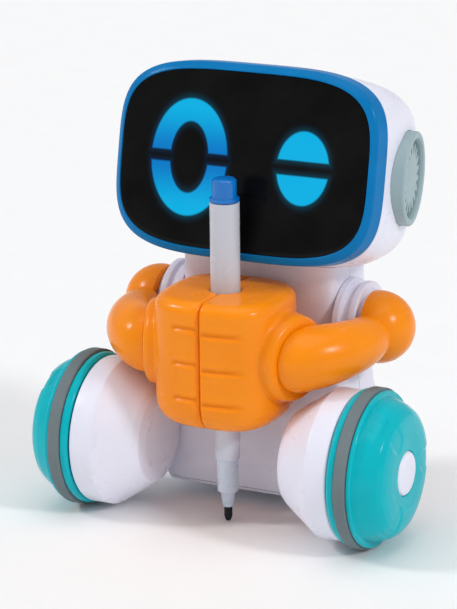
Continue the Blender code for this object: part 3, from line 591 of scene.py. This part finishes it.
def lens_material():
    """A black gloss window, with the soft-edged light of the eyes behind it."""
    made = finish_material("smoked_lens", srgb(3, 3, 4), 0.16, vary=0.2, bump=0.02)
    tree = made.node_tree
    shader = tree.nodes["Principled BSDF"]
    coord = tree.nodes.new("ShaderNodeTexCoord").outputs["Object"]
    axes = tree.nodes.new("ShaderNodeSeparateXYZ")
    tree.links.new(coord, axes.inputs["Vector"])
    across, upward = axes.outputs["X"], axes.outputs["Z"]
    rise = math_node(tree, "ABSOLUTE", upward)
    total = 0.0
    halo = 0.0
    for centre, outer, inner, band in EYES:
        edge = oval_reach(tree, across, upward, centre, outer)
        if inner:
            hole = math_node(tree, "MULTIPLY", oval_reach(tree, across, upward, centre, inner), -1.0)
            edge = math_node(tree, "MINIMUM", edge, hole)
        edge = math_node(tree, "MINIMUM", edge, math_node(tree, "SUBTRACT", rise, band * MM))
        total = math_node(tree, "MAXIMUM", total, soft_step(tree, edge, *EYE_EDGE))
        halo = math_node(tree, "MAXIMUM", halo, soft_step(tree, edge, *EYE_HALO))
    halo = math_node(tree, "POWER", halo, HALO_FALL)
    glow = math_node(tree, "ADD", total, math_node(tree, "MULTIPLY", halo, HALO_LIGHT))
    uneven = spread(tree, noise(tree, coord, 120.0, 2.0), 0.93, 1.05)
    glow = math_node(tree, "MULTIPLY", glow, uneven)
    hue = tree.nodes.new("ShaderNodeMix")
    hue.data_type = "RGBA"
    hue.inputs["A"].default_value = DEEP_LIGHT
    hue.inputs["B"].default_value = PALE_LIGHT
    ring = soft_step(tree, rise, 0.0, PALE_HEIGHT)
    disc = soft_step(tree, across, 0.0, PALE_ACROSS)
    tree.links.new(math_node(tree, "MAXIMUM", ring, disc), hue.inputs["Factor"])
    colour = tree.nodes.new("ShaderNodeMix")
    colour.data_type = "RGBA"
    colour.inputs["A"].default_value = srgb(0, 0, 0)
    tree.links.new(hue.outputs["Result"], colour.inputs["B"])
    tree.links.new(glow, colour.inputs["Factor"])
    tree.links.new(colour.outputs["Result"], shader.inputs["Emission Color"])
    shader.inputs["Emission Strength"].default_value = 1.0
    shader.inputs["Specular IOR Level"].default_value = 0.12
    return made


# Body

# Height, half width, front, back.
BODY_STATIONS = (
    (7.8, 39.8, 19.8, 59.0),
    (10.0, 40.5, 19.5, 60.0),
    (30.0, 42.0, 19.5, 62.5),
    (40.0, 41.0, 21.5, 63.0),
    (47.0, 38.6, 26.0, 63.0),
    (53.0, 37.8, 26.3, 63.0),
    (58.0, 34.0, 26.6, 63.0),
    (66.0, 34.0, 27.0, 63.0),
    (110.0, 34.0, 27.0, 63.0),
)
BODY_POWER = 9.0
BODY_WALL = 2.0
HOLLOW_REACH = 12.0
SPLIT_Y = 44.0
SPLIT_GAP = 0.15
SHAFT_ROOM = (5.4, -60.0, 60.0)
# The window of the battery door, the card slot's opening and the switch's slot, each with its bevel.
BACK_OPENINGS = (
    ((-27.3, 50.0, 14.7), (27.3, 70.0, 48.3), 2.0),
    ((-22.3, 50.0, 79.7), (22.3, 70.0, 89.3), 0.8),
    ((-21.3, 50.0, 68.9), (-6.7, 70.0, 73.1), 0.5),
)
BUTTON_PLACE = (14.0, 71.0)
BUTTON_HOLE = 4.3
# Name, across, height, length and body of each screw.
SCREWS = (
    ("left_shell_screw", 27.0, 90.0, 14.0, "body"),
    ("right_shell_screw", -27.0, 90.0, 14.0, "body"),
    ("battery_door_screw", 0.0, 44.0, 5.0, "battery_door"),
)
SCREW_HOLE = 2.9
SCREW_FACE = 62.4
BACK_REACH = (50.0, 72.0)
# Rise above the underside, and inset from the base plate's edge.
BASE_EDGE = ((0.0, 1.3), (0.2, 0.6), (0.7, 0.15), (1.5, 0.0))
BASE_HALF = 39.4
BASE_FRONT = 20.0
BASE_BACK = 57.0
BASE_UNDERSIDE = 6.0
BASE_HOLE = (8.8, 0.0, 20.0)
BALL_RADIUS = 6.0


def body_outline(half, front, back):
    middle = (front + back) / 2
    depth = (back - front) / 2
    return [(x, middle + y) for x, y in outline(half, depth, depth, BODY_POWER)]


def body_form(name, grow=0.0, count=60, reach=0.0):
    """The body's form, grown outward, and longer at both ends by the reach."""
    rings = []
    rows = smooth_table(BODY_STATIONS, count)
    rows[0][0] -= reach
    rows[-1][0] += reach
    for z, half, front, back in rows:
        rings.append([(x, y, z) for x, y in body_outline(half + grow, front - grow, back + grow)])
    return loft(name, rings)


def make_body():
    """Two halves of one hollow form, parted by a fine gap."""
    for name, low, high in (("front", -10.0, SPLIT_Y - SPLIT_GAP), ("rear", SPLIT_Y + SPLIT_GAP, 90.0)):
        shell = body_form(f"torso_{name}")
        join_shape(shell, body_form("hollow", -BODY_WALL, reach=HOLLOW_REACH))
        join_shape(shell, box_solid("half", (-80.0, low, -5.0), (80.0, high, 130.0)), "INTERSECT")
        join_shape(shell, loft("head_room", head_rings(GAP, 24), HEAD_PLACE))
        bore(shell, *SHAFT_ROOM, side_place(1, *SHOULDER), 40)
        if name == "rear":
            open_back(shell)
        show(shell, "body", "white_plastic", WHITE, f"body_{name}_shell")


def open_back(shell):
    """The openings of the back: door, card slot, switch, button and two screws."""
    for k, (low, high, bevel) in enumerate(BACK_OPENINGS):
        join_shape(shell, box_solid(f"opening_{k}", low, high, bevel))
    bore(shell, BUTTON_HOLE, *BACK_REACH, back_place(*BUTTON_PLACE), 48)
    for _, x, z, _, body in SCREWS:
        if body == "body":
            bore(shell, SCREW_HOLE, *BACK_REACH, back_place(x, z), 48)


def make_door():
    """The battery door follows the body's form, with a screw hole and five finger grooves."""
    door = body_form("cell_door")
    join_shape(door, box_solid("door_form", (-27.0, 57.0, 15.0), (27.0, 90.0, 48.0)), "INTERSECT")
    _, x, z, _, _ = SCREWS[2]
    bore(door, SCREW_HOLE, *BACK_REACH, back_place(x, z), 48)
    for k in range(5):
        z = 20.0 + 3.2 * k
        join_shape(door, box_solid("grip", (-9.0, 61.9, z), (9.0, 70.0, z + 1.4), 0.5))
    show(door, "battery_door", "white_plastic", WHITE, "battery_door")


def make_controls():
    card = box_solid("card_frame", (-22.0, 60.3, 80.0), (22.0, 64.0, 89.0), 0.7)
    join_shape(card, box_solid("card_mouth", (-19.0, 50.0, 83.0), (19.0, 70.0, 86.0), 0.6))
    show(card, "body", "teal_plastic", TEAL, "card_slot_frame")
    switch = box_solid("slide_switch", (-18.0, 60.0, 69.2), (-10.0, 65.0, 72.8), 0.5)
    for k in range(4):
        x = -16.4 + 1.6 * k
        join_shape(switch, box_solid("rib", (x - 0.35, 64.4, 68.0), (x + 0.35, 66.0, 74.0), 0.15))
    show(switch, "power_switch", "orange_plastic", ORANGE, "power_switch")
    profile = [(0.0, 64.2), (3.0, 64.5), (4.0, 64.4, 0.6), (4.0, 60.6, 0.2), (0.0, 60.6)]
    button = turned("push_button", rounded(profile, 0.2), back_place(*BUTTON_PLACE), 72)
    show(button, "go_button", "orange_plastic", ORANGE, "go_button")


def make_screws():
    """Cross-headed screws, their heads just below the body's back."""
    for name, x, z, length, body in SCREWS:
        profile = [
            (0.0, SCREW_FACE - 0.1),
            (2.2, SCREW_FACE - 0.1),
            (2.6, SCREW_FACE - 0.5, 0.3),
            (2.6, SCREW_FACE - 1.4),
            (1.3, SCREW_FACE - 1.9),
            (1.3, SCREW_FACE - length),
            (0.0, SCREW_FACE - length),
        ]
        place = back_place(x, z)
        screw = turned(f"{name}_head", rounded(profile, 0.1), place, 48)
        for turn in (0.0, math.pi / 2):
            low = (-1.5, -0.3, SCREW_FACE - 1.1)
            high = (1.5, 0.3, SCREW_FACE + 1.0)
            join_shape(screw, box_solid("drive", low, high, 0.05, place @ Matrix.Rotation(turn, 4, "Z")))
        show(screw, body, "steel", STEEL, name)


def make_base():
    rings = []
    for rise, inset in BASE_EDGE:
        edge = body_outline(BASE_HALF - inset, BASE_FRONT + inset, BASE_BACK - inset)
        rings.append([(x, y, BASE_UNDERSIDE + rise) for x, y in edge])
    plate = loft("belly_plate", rings)
    bore(plate, *BASE_HOLE, CASTER_PLACE, 96)
    show(plate, "body", "white_plastic", WHITE, "base_plate")


def make_caster():
    """A steel ball standing on the ground in a black cup."""
    cup = [
        (0.0, 14.2),
        (7.0, 14.2),
        (8.5, 12.0),
        (8.5, 9.3),
        (10.8, 9.3),
        (10.8, 7.8),
        (8.5, 7.8),
        (8.5, 4.6),
        (8.0, 4.2),
        (6.3, 4.2),
        (6.5, 6.0),
        (5.9, 9.0),
        (3.8, 11.4),
        (0.0, 12.6),
    ]
    socket = turned("roller_cup", rounded(cup, 0.25), CASTER_PLACE, 96)
    show(socket, "body", "black_plastic", BLACK, "caster_socket")
    arc = []
    for k in range(41):
        angle = math.pi * k / 40
        arc.append((BALL_RADIUS * math.sin(angle), BALL_RADIUS + BALL_RADIUS * math.cos(angle)))
    ball = turned("roller_ball", arc, CASTER_PLACE, 80)
    show(ball, "caster", "steel", STEEL, "caster_ball")


# Wheels

# Three shallow arches are pressed into a wheel's face: how far out and in they reach from the middle,
# half their width, where their round inner ends begin, how soft their edge is, and their depth.
ARCH_OUTER = 26.2
ARCH_FOOT = 8.0
ARCH_HALF = 4.9
ARCH_ROUND = 17.6
ARCH_SOFTNESS = 1.4
ARCH_DEPTH = 0.45
# The dome's outer face is what lies above these heights, and outside the cap.
FACE_SHOULDER = 27.0
FACE_LOW = (67.2, 73.6)
CAP_ROOM = 9.5


def make_pod(name, side):
    """The wide white cup inboard of a wheel, cut to meet the body's side."""
    cup = [
        (0.0, 31.4),
        (12.6, 31.9),
        (15.8, 33.6),
        (27.9, 48.0),
        (28.0, 56.0, 0.5),
        (30.0, 56.0, 0.9),
        (30.0, 46.7, 1.6),
        (24.1, 38.0),
        (20.4, 32.6, 1.0),
        (18.6, 30.6, 1.0),
        (14.0, 29.6),
        (0.0, 29.6),
    ]
    pod = turned(f"{name}_wheel_housing", rounded(cup, 0.6), side_place(side, 0.0, WHEEL_RADIUS), 160)
    join_shape(pod, body_form("body_room", GAP, 40))
    show(pod, "body", "white_plastic", WHITE, f"{name}_wheel_pod")


def arch_depth(x, y):
    """How deep the face of a wheel is pressed in at a place, from three shallow arches."""
    depth = 0.0
    for k in range(3):
        turn = math.radians(90.0 + 120.0 * k)
        along = x * math.cos(turn) + y * math.sin(turn)
        across = -x * math.sin(turn) + y * math.cos(turn)
        if along > ARCH_OUTER + 3.0 or along < ARCH_FOOT:
            continue
        if along > ARCH_ROUND:
            edge = ARCH_HALF - abs(across)
        else:
            edge = ARCH_HALF - math.hypot(across, ARCH_ROUND - along)
        share = min(max(edge / ARCH_SOFTNESS, 0.0), 1.0)
        depth = max(depth, share * share * (3 - 2 * share))
    return depth


def make_dome(name, side):
    outer = [
        (0.0, 75.2, 0),
        (8.8, 75.2, 0.1),
        (9.1, 77.6, 0.3),
        (16.0, 77.8, 3.0),
        (20.0, 77.5, 3.0),
        (22.8, 76.8, 2.2),
        (25.0, 75.2, 2.2),
        (26.8, 72.4, 2.2),
        (28.2, 69.0, 2.2),
        (28.9, 66.95, 0.2),
        (30.6, 66.9, 0.35),
        (31.0, 66.5, 0.3),
        (31.0, 65.2, 0.2),
        (27.0, 65.2, 0.2),
        (24.5, 70.2, 1.0),
        (17.5, 73.4, 1.0),
        (5.0, 73.4, 0.2),
        (5.0, 65.2, 0.2),
        (2.3, 65.2, 0.1),
        (2.3, 73.4, 0.1),
        (0.0, 73.4, 0),
    ]
    profile = finely_stepped(rounded(outer, 0.3, steps=5))
    dome = turned(f"{name}_wheel_face", profile, side_place(side, 0.0, WHEEL_RADIUS), 288)
    for vert in dome.data.vertices:
        x, y, z = vert.co / MM
        radius = math.hypot(x, y)
        face_low = FACE_LOW[0] if radius > FACE_SHOULDER else FACE_LOW[1]
        if z > face_low and radius > CAP_ROOM:
            depth = ARCH_DEPTH * arch_depth(x, y)
            lean = min(max((radius - 20.0) / 8.0, 0.0), 1.0)
            vert.co -= Vector((x / radius * lean, y / radius * lean, 1.0 - 0.4 * lean)) * depth * MM
    dome.data.shade_smooth()
    dome.data.set_sharp_from_angle(angle=math.radians(40))
    show(dome, f"{name}_wheel", "teal_plastic", TEAL, f"{name}_wheel_dome")


def finely_stepped(profile):
    """Cuts the dome's profile into short steps where its face is pressed in."""
    fine = []
    for (r0, h0), (r1, h1) in zip(profile, profile[1:]):
        pieces = 1
        if h0 > 66.5 and r0 > ARCH_FOOT:
            pieces = max(1, int(math.hypot(r1 - r0, h1 - h0) / 0.45))
        for k in range(pieces):
            share = k / pieces
            fine.append((r0 + (r1 - r0) * share, h0 + (h1 - h0) * share))
    fine.append(profile[-1])
    return fine


def make_wheel(name, side):
    """Rim, tyre, cap and dome, all turned about the axle."""
    place = side_place(side, 0.0, WHEEL_RADIUS)
    rim = [
        (26.7, 64.9),
        (26.7, 59.6),
        (31.0, 59.6, 0.3),
        (31.0, 57.6, 0.7),
        (30.2, 56.6, 0.6),
        (28.6, 56.6, 0.3),
        (28.6, 58.6),
        (6.0, 58.6),
        (6.0, 56.8),
        (2.3, 56.8),
        (2.3, 60.6),
        (25.0, 60.6),
        (25.0, 64.9),
    ]
    obj = turned(f"{name}_wheel_drum", rounded(rim, 0.15, closed=True), place, 192, closed=True)
    show(obj, f"{name}_wheel", "teal_plastic", TEAL, f"{name}_wheel_rim")
    tyre = [(27.0, 64.9), (32.0, 64.9, 0.7), (32.0, 59.9, 0.7), (27.0, 59.9)]
    obj = turned(f"{name}_tyre_band", rounded(tyre, 0.15, closed=True), place, 192, closed=True)
    show(obj, f"{name}_wheel", "tyre_rubber", TYRE, f"{name}_tyre")
    cap = [(0.0, 78.6), (6.0, 78.4, 2.0), (8.2, 77.9, 0.8), (8.8, 77.1, 0.4), (8.8, 75.5), (0.0, 75.5)]
    obj = turned(f"{name}_centre_cap", rounded(cap, 0.3), place, 96)
    show(obj, f"{name}_wheel", "white_plastic", WHITE, f"{name}_wheel_cap")
    make_dome(name, side)


# Arms and hands

# The forearm runs level along a curve from the cuff to the elbow, thinning and rising a little.
FOREARM_PATH = ((33.5, -3.0), (35.0, -3.4), (50.5, 6.5), (49.6, 28.4))
FOREARM_Z = 73.3
FOREARM_RADIUS = 12.85
FOREARM_TAPER = 3.75
FOREARM_SWELL = 4.2
FOREARM_RISE = 2.9
FOREARM_RINGS = 40
CUFF_TURN = math.radians(-18.0)
CUFF_NORMAL = (math.cos(CUFF_TURN), math.sin(CUFF_TURN))
ELBOW_RADIUS = 9.1
ELBOW_REACH = 4.0
ELBOW_ROUNDING = 3.1
UPPER_ARM_CENTRE = (49.1, 38.6, 77.3)
UPPER_ARM_RADIUS = 14.65
UPPER_ARM_END = 46.0
SHOULDER_ROOM = (17.8, 20.0, UPPER_ARM_END)
HAND_BOTTOM = 44.5
HAND_TOP = 97.5
HAND_HALF = (25.7, 25.0)
HAND_POWER = 3
HAND_FLAT = 0.15
# Height, and inset from the hand's full section.
HAND_STATIONS = (
    (HAND_BOTTOM, 9.0),
    (HAND_BOTTOM + 0.6, 6.4),
    (HAND_BOTTOM + 2.2, 3.6),
    (HAND_BOTTOM + 4.8, 1.5),
    (HAND_BOTTOM + 8.0, 0.35),
    (HAND_BOTTOM + 11.0, 0.0),
    (HAND_TOP - 4.5, 0.0),
    (HAND_TOP - 2.6, 0.5),
    (HAND_TOP - 1.2, 1.6),
    (HAND_TOP - 0.3, 3.2),
    (HAND_TOP, 4.8),
)
# Distance back from the cuff's mouth, and radius.
CUFF_STATIONS = (
    (15.0, 19.0),
    (10.0, 18.2),
    (6.0, 17.6),
    (3.4, 17.3),
    (1.8, 17.0),
    (0.7, 16.2),
    (0.1, 15.0),
    (0.0, 13.6),
)
CUFF_HEIGHT = 18.0
# Heights of the grooves, where they fade out across, their depth and their width, by side.
GROOVES = {
    1: ((85.5, 71.0, 57.0), (13.0, 21.0), 1.15, 0.85),
    -1: ((87.2, 72.9, 58.6), (10.0, 12.5), 1.1, 0.8),
}
# A low swell runs along both edges of a groove.
SWELL_HEIGHT = 0.22
SWELL_AWAY = 2.1
SWELL_WIDTH = 0.9
# How far each hand's edge at the seam leans back, and over what width. The right hand's leans back more.
SEAM_REACH = {1: 1.6, -1: 3.0}
SEAM_DEPTH = {1: 0.35, -1: 1.0}


def bezier(path, share):
    """A point of a cubic curve and the direction there."""
    rest = 1.0 - share
    weights = (rest**3, 3 * rest**2 * share, 3 * rest * share**2, share**3)
    slopes = (-(rest**2), rest**2 - 2 * rest * share, 2 * rest * share - share**2, share**2)
    point = [sum(w * p[axis] for w, p in zip(weights, path)) for axis in (0, 1)]
    slope = [sum(w * p[axis] for w, p in zip(slopes, path)) for axis in (0, 1)]
    length = math.hypot(*slope)
    return point, (slope[0] / length, slope[1] / length)


def tube_ring(side, centre, direction, radius, z, count=96, height=None):
    """A round or flattened section of a level tube, square to its direction."""
    height = height or radius
    ring = []
    for k in range(count):
        turn = 2 * math.pi * k / count
        level = radius * math.cos(turn)
        x = centre[0] + direction[1] * level
        y = centre[1] - direction[0] * level
        ring.append((side * x, y, z + height * math.sin(turn)))
    return ring


def forearm_rings():
    """The forearm from just behind the cuff, round its bend, to the closed end of the elbow."""
    start = FOREARM_PATH[0]
    elbow = FOREARM_PATH[3]
    behind = [start[axis] - CUFF_NORMAL[axis] for axis in (0, 1)]
    rings = [tube_ring(1, behind, CUFF_NORMAL, FOREARM_RADIUS, FOREARM_Z)]
    for k in range(1, FOREARM_RINGS + 1):
        share = k / FOREARM_RINGS
        point, direction = bezier(FOREARM_PATH, share)
        radius = FOREARM_RADIUS - FOREARM_TAPER * share + FOREARM_SWELL * share * (1 - share)
        rings.append(tube_ring(1, point, direction, radius, FOREARM_Z + FOREARM_RISE * share))
    for turn in (30.0, 60.0, 90.0):
        angle = math.radians(turn)
        centre = (elbow[0], elbow[1] + ELBOW_REACH * math.sin(angle))
        radius = ELBOW_RADIUS - ELBOW_ROUNDING * (1 - math.cos(angle))
        rings.append(tube_ring(1, centre, (0.0, 1.0), radius, FOREARM_Z + FOREARM_RISE))
    return rings


def upper_arm_form():
    """A ball cut flat on its inner side, where it meets the shoulder ring."""
    x, y, z = UPPER_ARM_CENTRE
    arc = []
    for k in range(49):
        angle = math.pi * k / 48
        arc.append((UPPER_ARM_RADIUS * math.sin(angle), x + UPPER_ARM_RADIUS * math.cos(angle)))
    arc = [point for point in arc if point[1] >= UPPER_ARM_END]
    edge = math.sqrt(UPPER_ARM_RADIUS**2 - (x - UPPER_ARM_END) ** 2)
    arc += [(edge, UPPER_ARM_END + 0.2), (edge - 0.4, UPPER_ARM_END), (0.0, UPPER_ARM_END)]
    return turned("upper_arm_form", arc, side_place(1, y, z), 144)


def make_arm(name, side):
    """The left arm, or its mirror image."""
    arm = loft(f"{name}_forearm", forearm_rings())
    trims = []
    for back in (30.0, 0.0):
        centre = [FOREARM_PATH[0][axis] - back * CUFF_NORMAL[axis] for axis in (0, 1)]
        trims.append(tube_ring(1, centre, CUFF_NORMAL, 32.0, FOREARM_Z, 48))
    join_shape(arm, loft("wrist_trim", trims), sharp=40.0)
    bore(arm, *SHOULDER_ROOM, side_place(1, *SHOULDER), 96, sharp=40.0)
    join_shape(arm, upper_arm_form(), "UNION", sharp=28.0)
    if side < 0:
        arm.data.transform(Matrix.Diagonal((-1.0, 1.0, 1.0, 1.0)))
        arm.data.flip_normals()
    show(arm, "arms", "orange_plastic", ORANGE, f"{name}_arm")


def hand_section(side, inset, z, count=72):
    """Half of a squared oval, with half of the pen's hole along its flat."""
    half_x = HAND_HALF[0] - inset
    half_y = HAND_HALF[1] - inset
    ring = []
    for k in range(count + 1):
        turn = math.pi * (k / count - 0.5)
        c, s = math.cos(turn), math.sin(turn)
        reach = (abs(c / half_x) ** HAND_POWER + abs(s / half_y) ** HAND_POWER) ** (-1 / HAND_POWER)
        ring.append((side * max(reach * c, HAND_FLAT), reach * s, z))
    hole = PEN_RADIUS + GAP
    for k in range(25):
        turn = math.pi * (0.5 - k / 24)
        ring.append((side * max(hole * math.cos(turn), HAND_FLAT), hole * math.sin(turn), z))
    return ring


def make_hand(name, side):
    """Half of the clasp round the pen, flowing into its cuff, with fine finger grooves."""
    hand = loft(f"{name}_hand_half", [hand_section(side, inset, z) for z, inset in HAND_STATIONS])
    mouth = [FOREARM_PATH[0][axis] - GAP * CUFF_NORMAL[axis] for axis in (0, 1)]
    rings = []
    for back, radius in CUFF_STATIONS:
        centre = [mouth[axis] - back * CUFF_NORMAL[axis] for axis in (0, 1)]
        height = min(radius, CUFF_HEIGHT)
        rings.append(tube_ring(side, centre, CUFF_NORMAL, radius, FOREARM_Z, height=height))
    join_shape(hand, loft("cuff_form", rings), "UNION")
    remesh = hand.modifiers.new("remesh", "REMESH")
    remesh.mode = "VOXEL"
    remesh.voxel_size = 0.55 * MM
    soften = hand.modifiers.new("soften", "SMOOTH")
    soften.factor = 0.5
    soften.iterations = 14
    apply_modifiers(hand)
    press_knuckles(hand, side)
    hand.data.shade_smooth()
    show(hand, "arms", "orange_plastic", ORANGE, f"{name}_hand")


def smooth_share(value, low, high):
    share = np.clip((value - low) / (high - low), 0.0, 1.0)
    return share * share * (3 - 2 * share)


def press_knuckles(hand, side):
    """Shallow finger grooves across the front, fading away from the seam."""
    mesh = hand.data
    co = np.empty(len(mesh.vertices) * 3)
    mesh.vertices.foreach_get("co", co)
    co = co.reshape(-1, 3) / MM
    x = np.abs(co[:, 0])
    facing = smooth_share(-co[:, 1], 17.0, 21.0)
    levels, reach, depth, width = GROOVES[side]
    fade = facing * smooth_share(x, 0.6, 2.2) * (1 - smooth_share(x, *reach))
    push = np.zeros(len(co))
    for level in levels:
        away = co[:, 2] - level
        push += depth * np.exp(-((away / width) ** 2))
        push -= SWELL_HEIGHT * np.exp(-(((away - SWELL_AWAY) / SWELL_WIDTH) ** 2))
        push -= SWELL_HEIGHT * np.exp(-(((away + SWELL_AWAY) / SWELL_WIDTH) ** 2))
    co[:, 1] += push * fade
    seam = facing * (1 - smooth_share(x, 0.5, SEAM_REACH[side])) * SEAM_DEPTH[side]
    co[:, 1] += seam
    mesh.vertices.foreach_set("co", (co * MM).ravel())
    mesh.update()


def make_shoulder(name, side):
    """A ring of two flanges with a groove between them."""
    profile = [
        (13.6, 45.7, 0.4),
        (13.6, 43.6, 0.5),
        (16.6, 43.6, 0.8),
        (16.6, 40.4, 0.6),
        (15.2, 40.4, 0.6),
        (15.2, 37.2, 0.6),
        (17.4, 37.2, 0.8),
        (17.4, 34.3, 0.2),
        (5.3, 34.3, 0.1),
        (5.3, 45.7, 0.1),
    ]
    place = side_place(side, *SHOULDER)
    ring = turned(f"{name}_shoulder_collar", rounded(profile, 0.4, closed=True), place, closed=True)
    show(ring, "body", "white_plastic", WHITE, f"{name}_shoulder_ring")


# Pen


def make_pen():
    """A felt pen held point down: barrel, end plug, front section and nib."""
    barrel = [(5.9, 133.0, 0.3), (5.9, 50.0, 0.4), (5.0, 50.0), (5.0, 133.0)]
    obj = turned("felt_pen_barrel", rounded(barrel, 0.1, closed=True), AXLE_PLACE, 96, closed=True)
    show(obj, "pen", "pen_barrel", BARREL, "pen_barrel")
    plug = [
        (0.0, 142.4),
        (4.0, 142.4, 0.5),
        (4.85, 141.6, 0.4),
        (4.85, 135.0, 0.3),
        (5.9, 134.6, 0.3),
        (5.9, 133.3, 0.2),
        (4.7, 133.3),
        (4.7, 127.0),
        (0.0, 127.0),
    ]
    obj = turned("felt_pen_plug", rounded(plug, 0.1), AXLE_PLACE, 96)
    show(obj, "pen", "blue_plastic", PLUG, "pen_end_plug")
    section = [
        (4.7, 56.0),
        (4.7, 49.7),
        (5.5, 49.7, 0.3),
        (4.9, 27.4, 0.3),
        (4.25, 27.0, 0.3),
        (4.25, 13.4, 0.5),
        (3.0, 12.9, 0.5),
        (2.1, 6.8, 0.2),
        (1.9, 6.8, 0.1),
        (1.9, 12.0),
        (3.7, 18.0),
        (3.7, 56.0),
    ]
    obj = turned("felt_pen_section", rounded(section, 0.1, closed=True), AXLE_PLACE, 96, closed=True)
    show(obj, "pen", "pen_section", SECTION, "pen_front_section")
    nib = [(0.0, 24.0), (1.65, 24.0, 0.2), (1.65, 2.6, 0.3), (1.1, 0.9, 0.6), (0.0, 0.3)]
    obj = turned("felt_pen_nib", rounded(nib, 0.1), AXLE_PLACE, 48)
    show(obj, "pen", "felt", FELT, "pen_nib")


def finish_frame():
    """Gives every CAD node that still shows its procedural finish."""
    slots = {row["node"]: row["material_slot"] for row in frame["record"]["subparts"]}
    for name, node in frame["nodes"].items():
        material = SLOT_FINISH[slots[name]]
        for holder in node.material_slots:
            holder.material = material
        if not node.material_slots:
            node.data.materials.append(material)


# Stage, light and camera

FLOOR_HALF = 30.0
SKY = (0.97, 0.98, 1.0, 1.0)
SKY_STRENGTH = 0.5
# Name, direction, angle across in degrees and strength.
SUNS = (
    ("left_sun", (-0.85, -0.42, 0.8), 10.0, 0.85),
    ("right_sun", (0.95, -0.2, 0.65), 10.0, 0.95),
    ("top_sun", (0.05, -0.1, 1.0), 50.0, 0.6),
)
# Azimuth, elevation and roll.
CAMERA_ANGLES = (26.334, 16.556, -0.70)
CAMERA_TARGET = (1.215, AXLE_Y, 91.27)
CAMERA_DISTANCE = 1.1325
CAMERA_LENS = 170.05


def make_floor():
    floor = bpy.data.meshes.new("floor")
    corners = [(-1, -1, 0), (1, -1, 0), (1, 1, 0), (-1, 1, 0)]
    floor.from_pydata([Vector(corner) * FLOOR_HALF for corner in corners], [], [(0, 1, 2, 3)])
    obj = bpy.data.objects.new("floor", floor)
    bpy.context.scene.collection.objects.link(obj)
    paper = finish_material("pale_paper", srgb(248, 248, 248), 0.8, vary=0.004, bump=0.02)
    floor.materials.append(paper)


def make_light():
    world = bpy.data.worlds.new("studio")
    world.use_nodes = True
    bpy.context.scene.world = world
    sky = world.node_tree.nodes["Background"]
    sky.inputs["Color"].default_value = SKY
    sky.inputs["Strength"].default_value = SKY_STRENGTH
    for name, toward, width, strength in SUNS:
        light = bpy.data.lights.new(name, "SUN")
        light.angle = math.radians(width)
        light.energy = strength
        lamp = bpy.data.objects.new(name, light)
        bpy.context.scene.collection.objects.link(lamp)
        lamp.rotation_euler = (-Vector(toward)).to_track_quat("-Z", "Y").to_euler()


def make_camera():
    bpy.context.scene.view_settings.view_transform = "Standard"
    azimuth, elevation, roll = (math.radians(angle) for angle in CAMERA_ANGLES)
    flat = math.cos(elevation)
    away = Vector((math.sin(azimuth) * flat, -math.cos(azimuth) * flat, math.sin(elevation)))
    level = Vector((math.cos(azimuth), math.sin(azimuth), 0.0))
    upright = away.cross(level)
    right = level * math.cos(roll) + upright * math.sin(roll)
    place = Matrix((right, away.cross(right), away)).transposed().to_4x4()
    place.translation = Vector(CAMERA_TARGET) * MM + away * CAMERA_DISTANCE
    lens = bpy.data.cameras.new("camera")
    lens.sensor_width = 36.0
    lens.lens = CAMERA_LENS
    lens.clip_start = 0.05
    camera = bpy.data.objects.new("camera", lens)
    bpy.context.scene.collection.objects.link(camera)
    camera.matrix_world = place
    bpy.context.scene.camera = camera


make_camera()
finish_frame()
make_head()
make_bezel()
make_lens()
for ear_name, ear_side in SIDES:
    make_ear(ear_name, ear_side)
make_body()
make_door()
make_controls()
make_screws()
make_base()
make_caster()
for part_name, part_side in SIDES:
    make_pod(part_name, part_side)
    make_wheel(part_name, part_side)
    make_shoulder(part_name, part_side)
    make_arm(part_name, part_side)
    make_hand(part_name, part_side)
make_pen()
make_floor()
make_light()
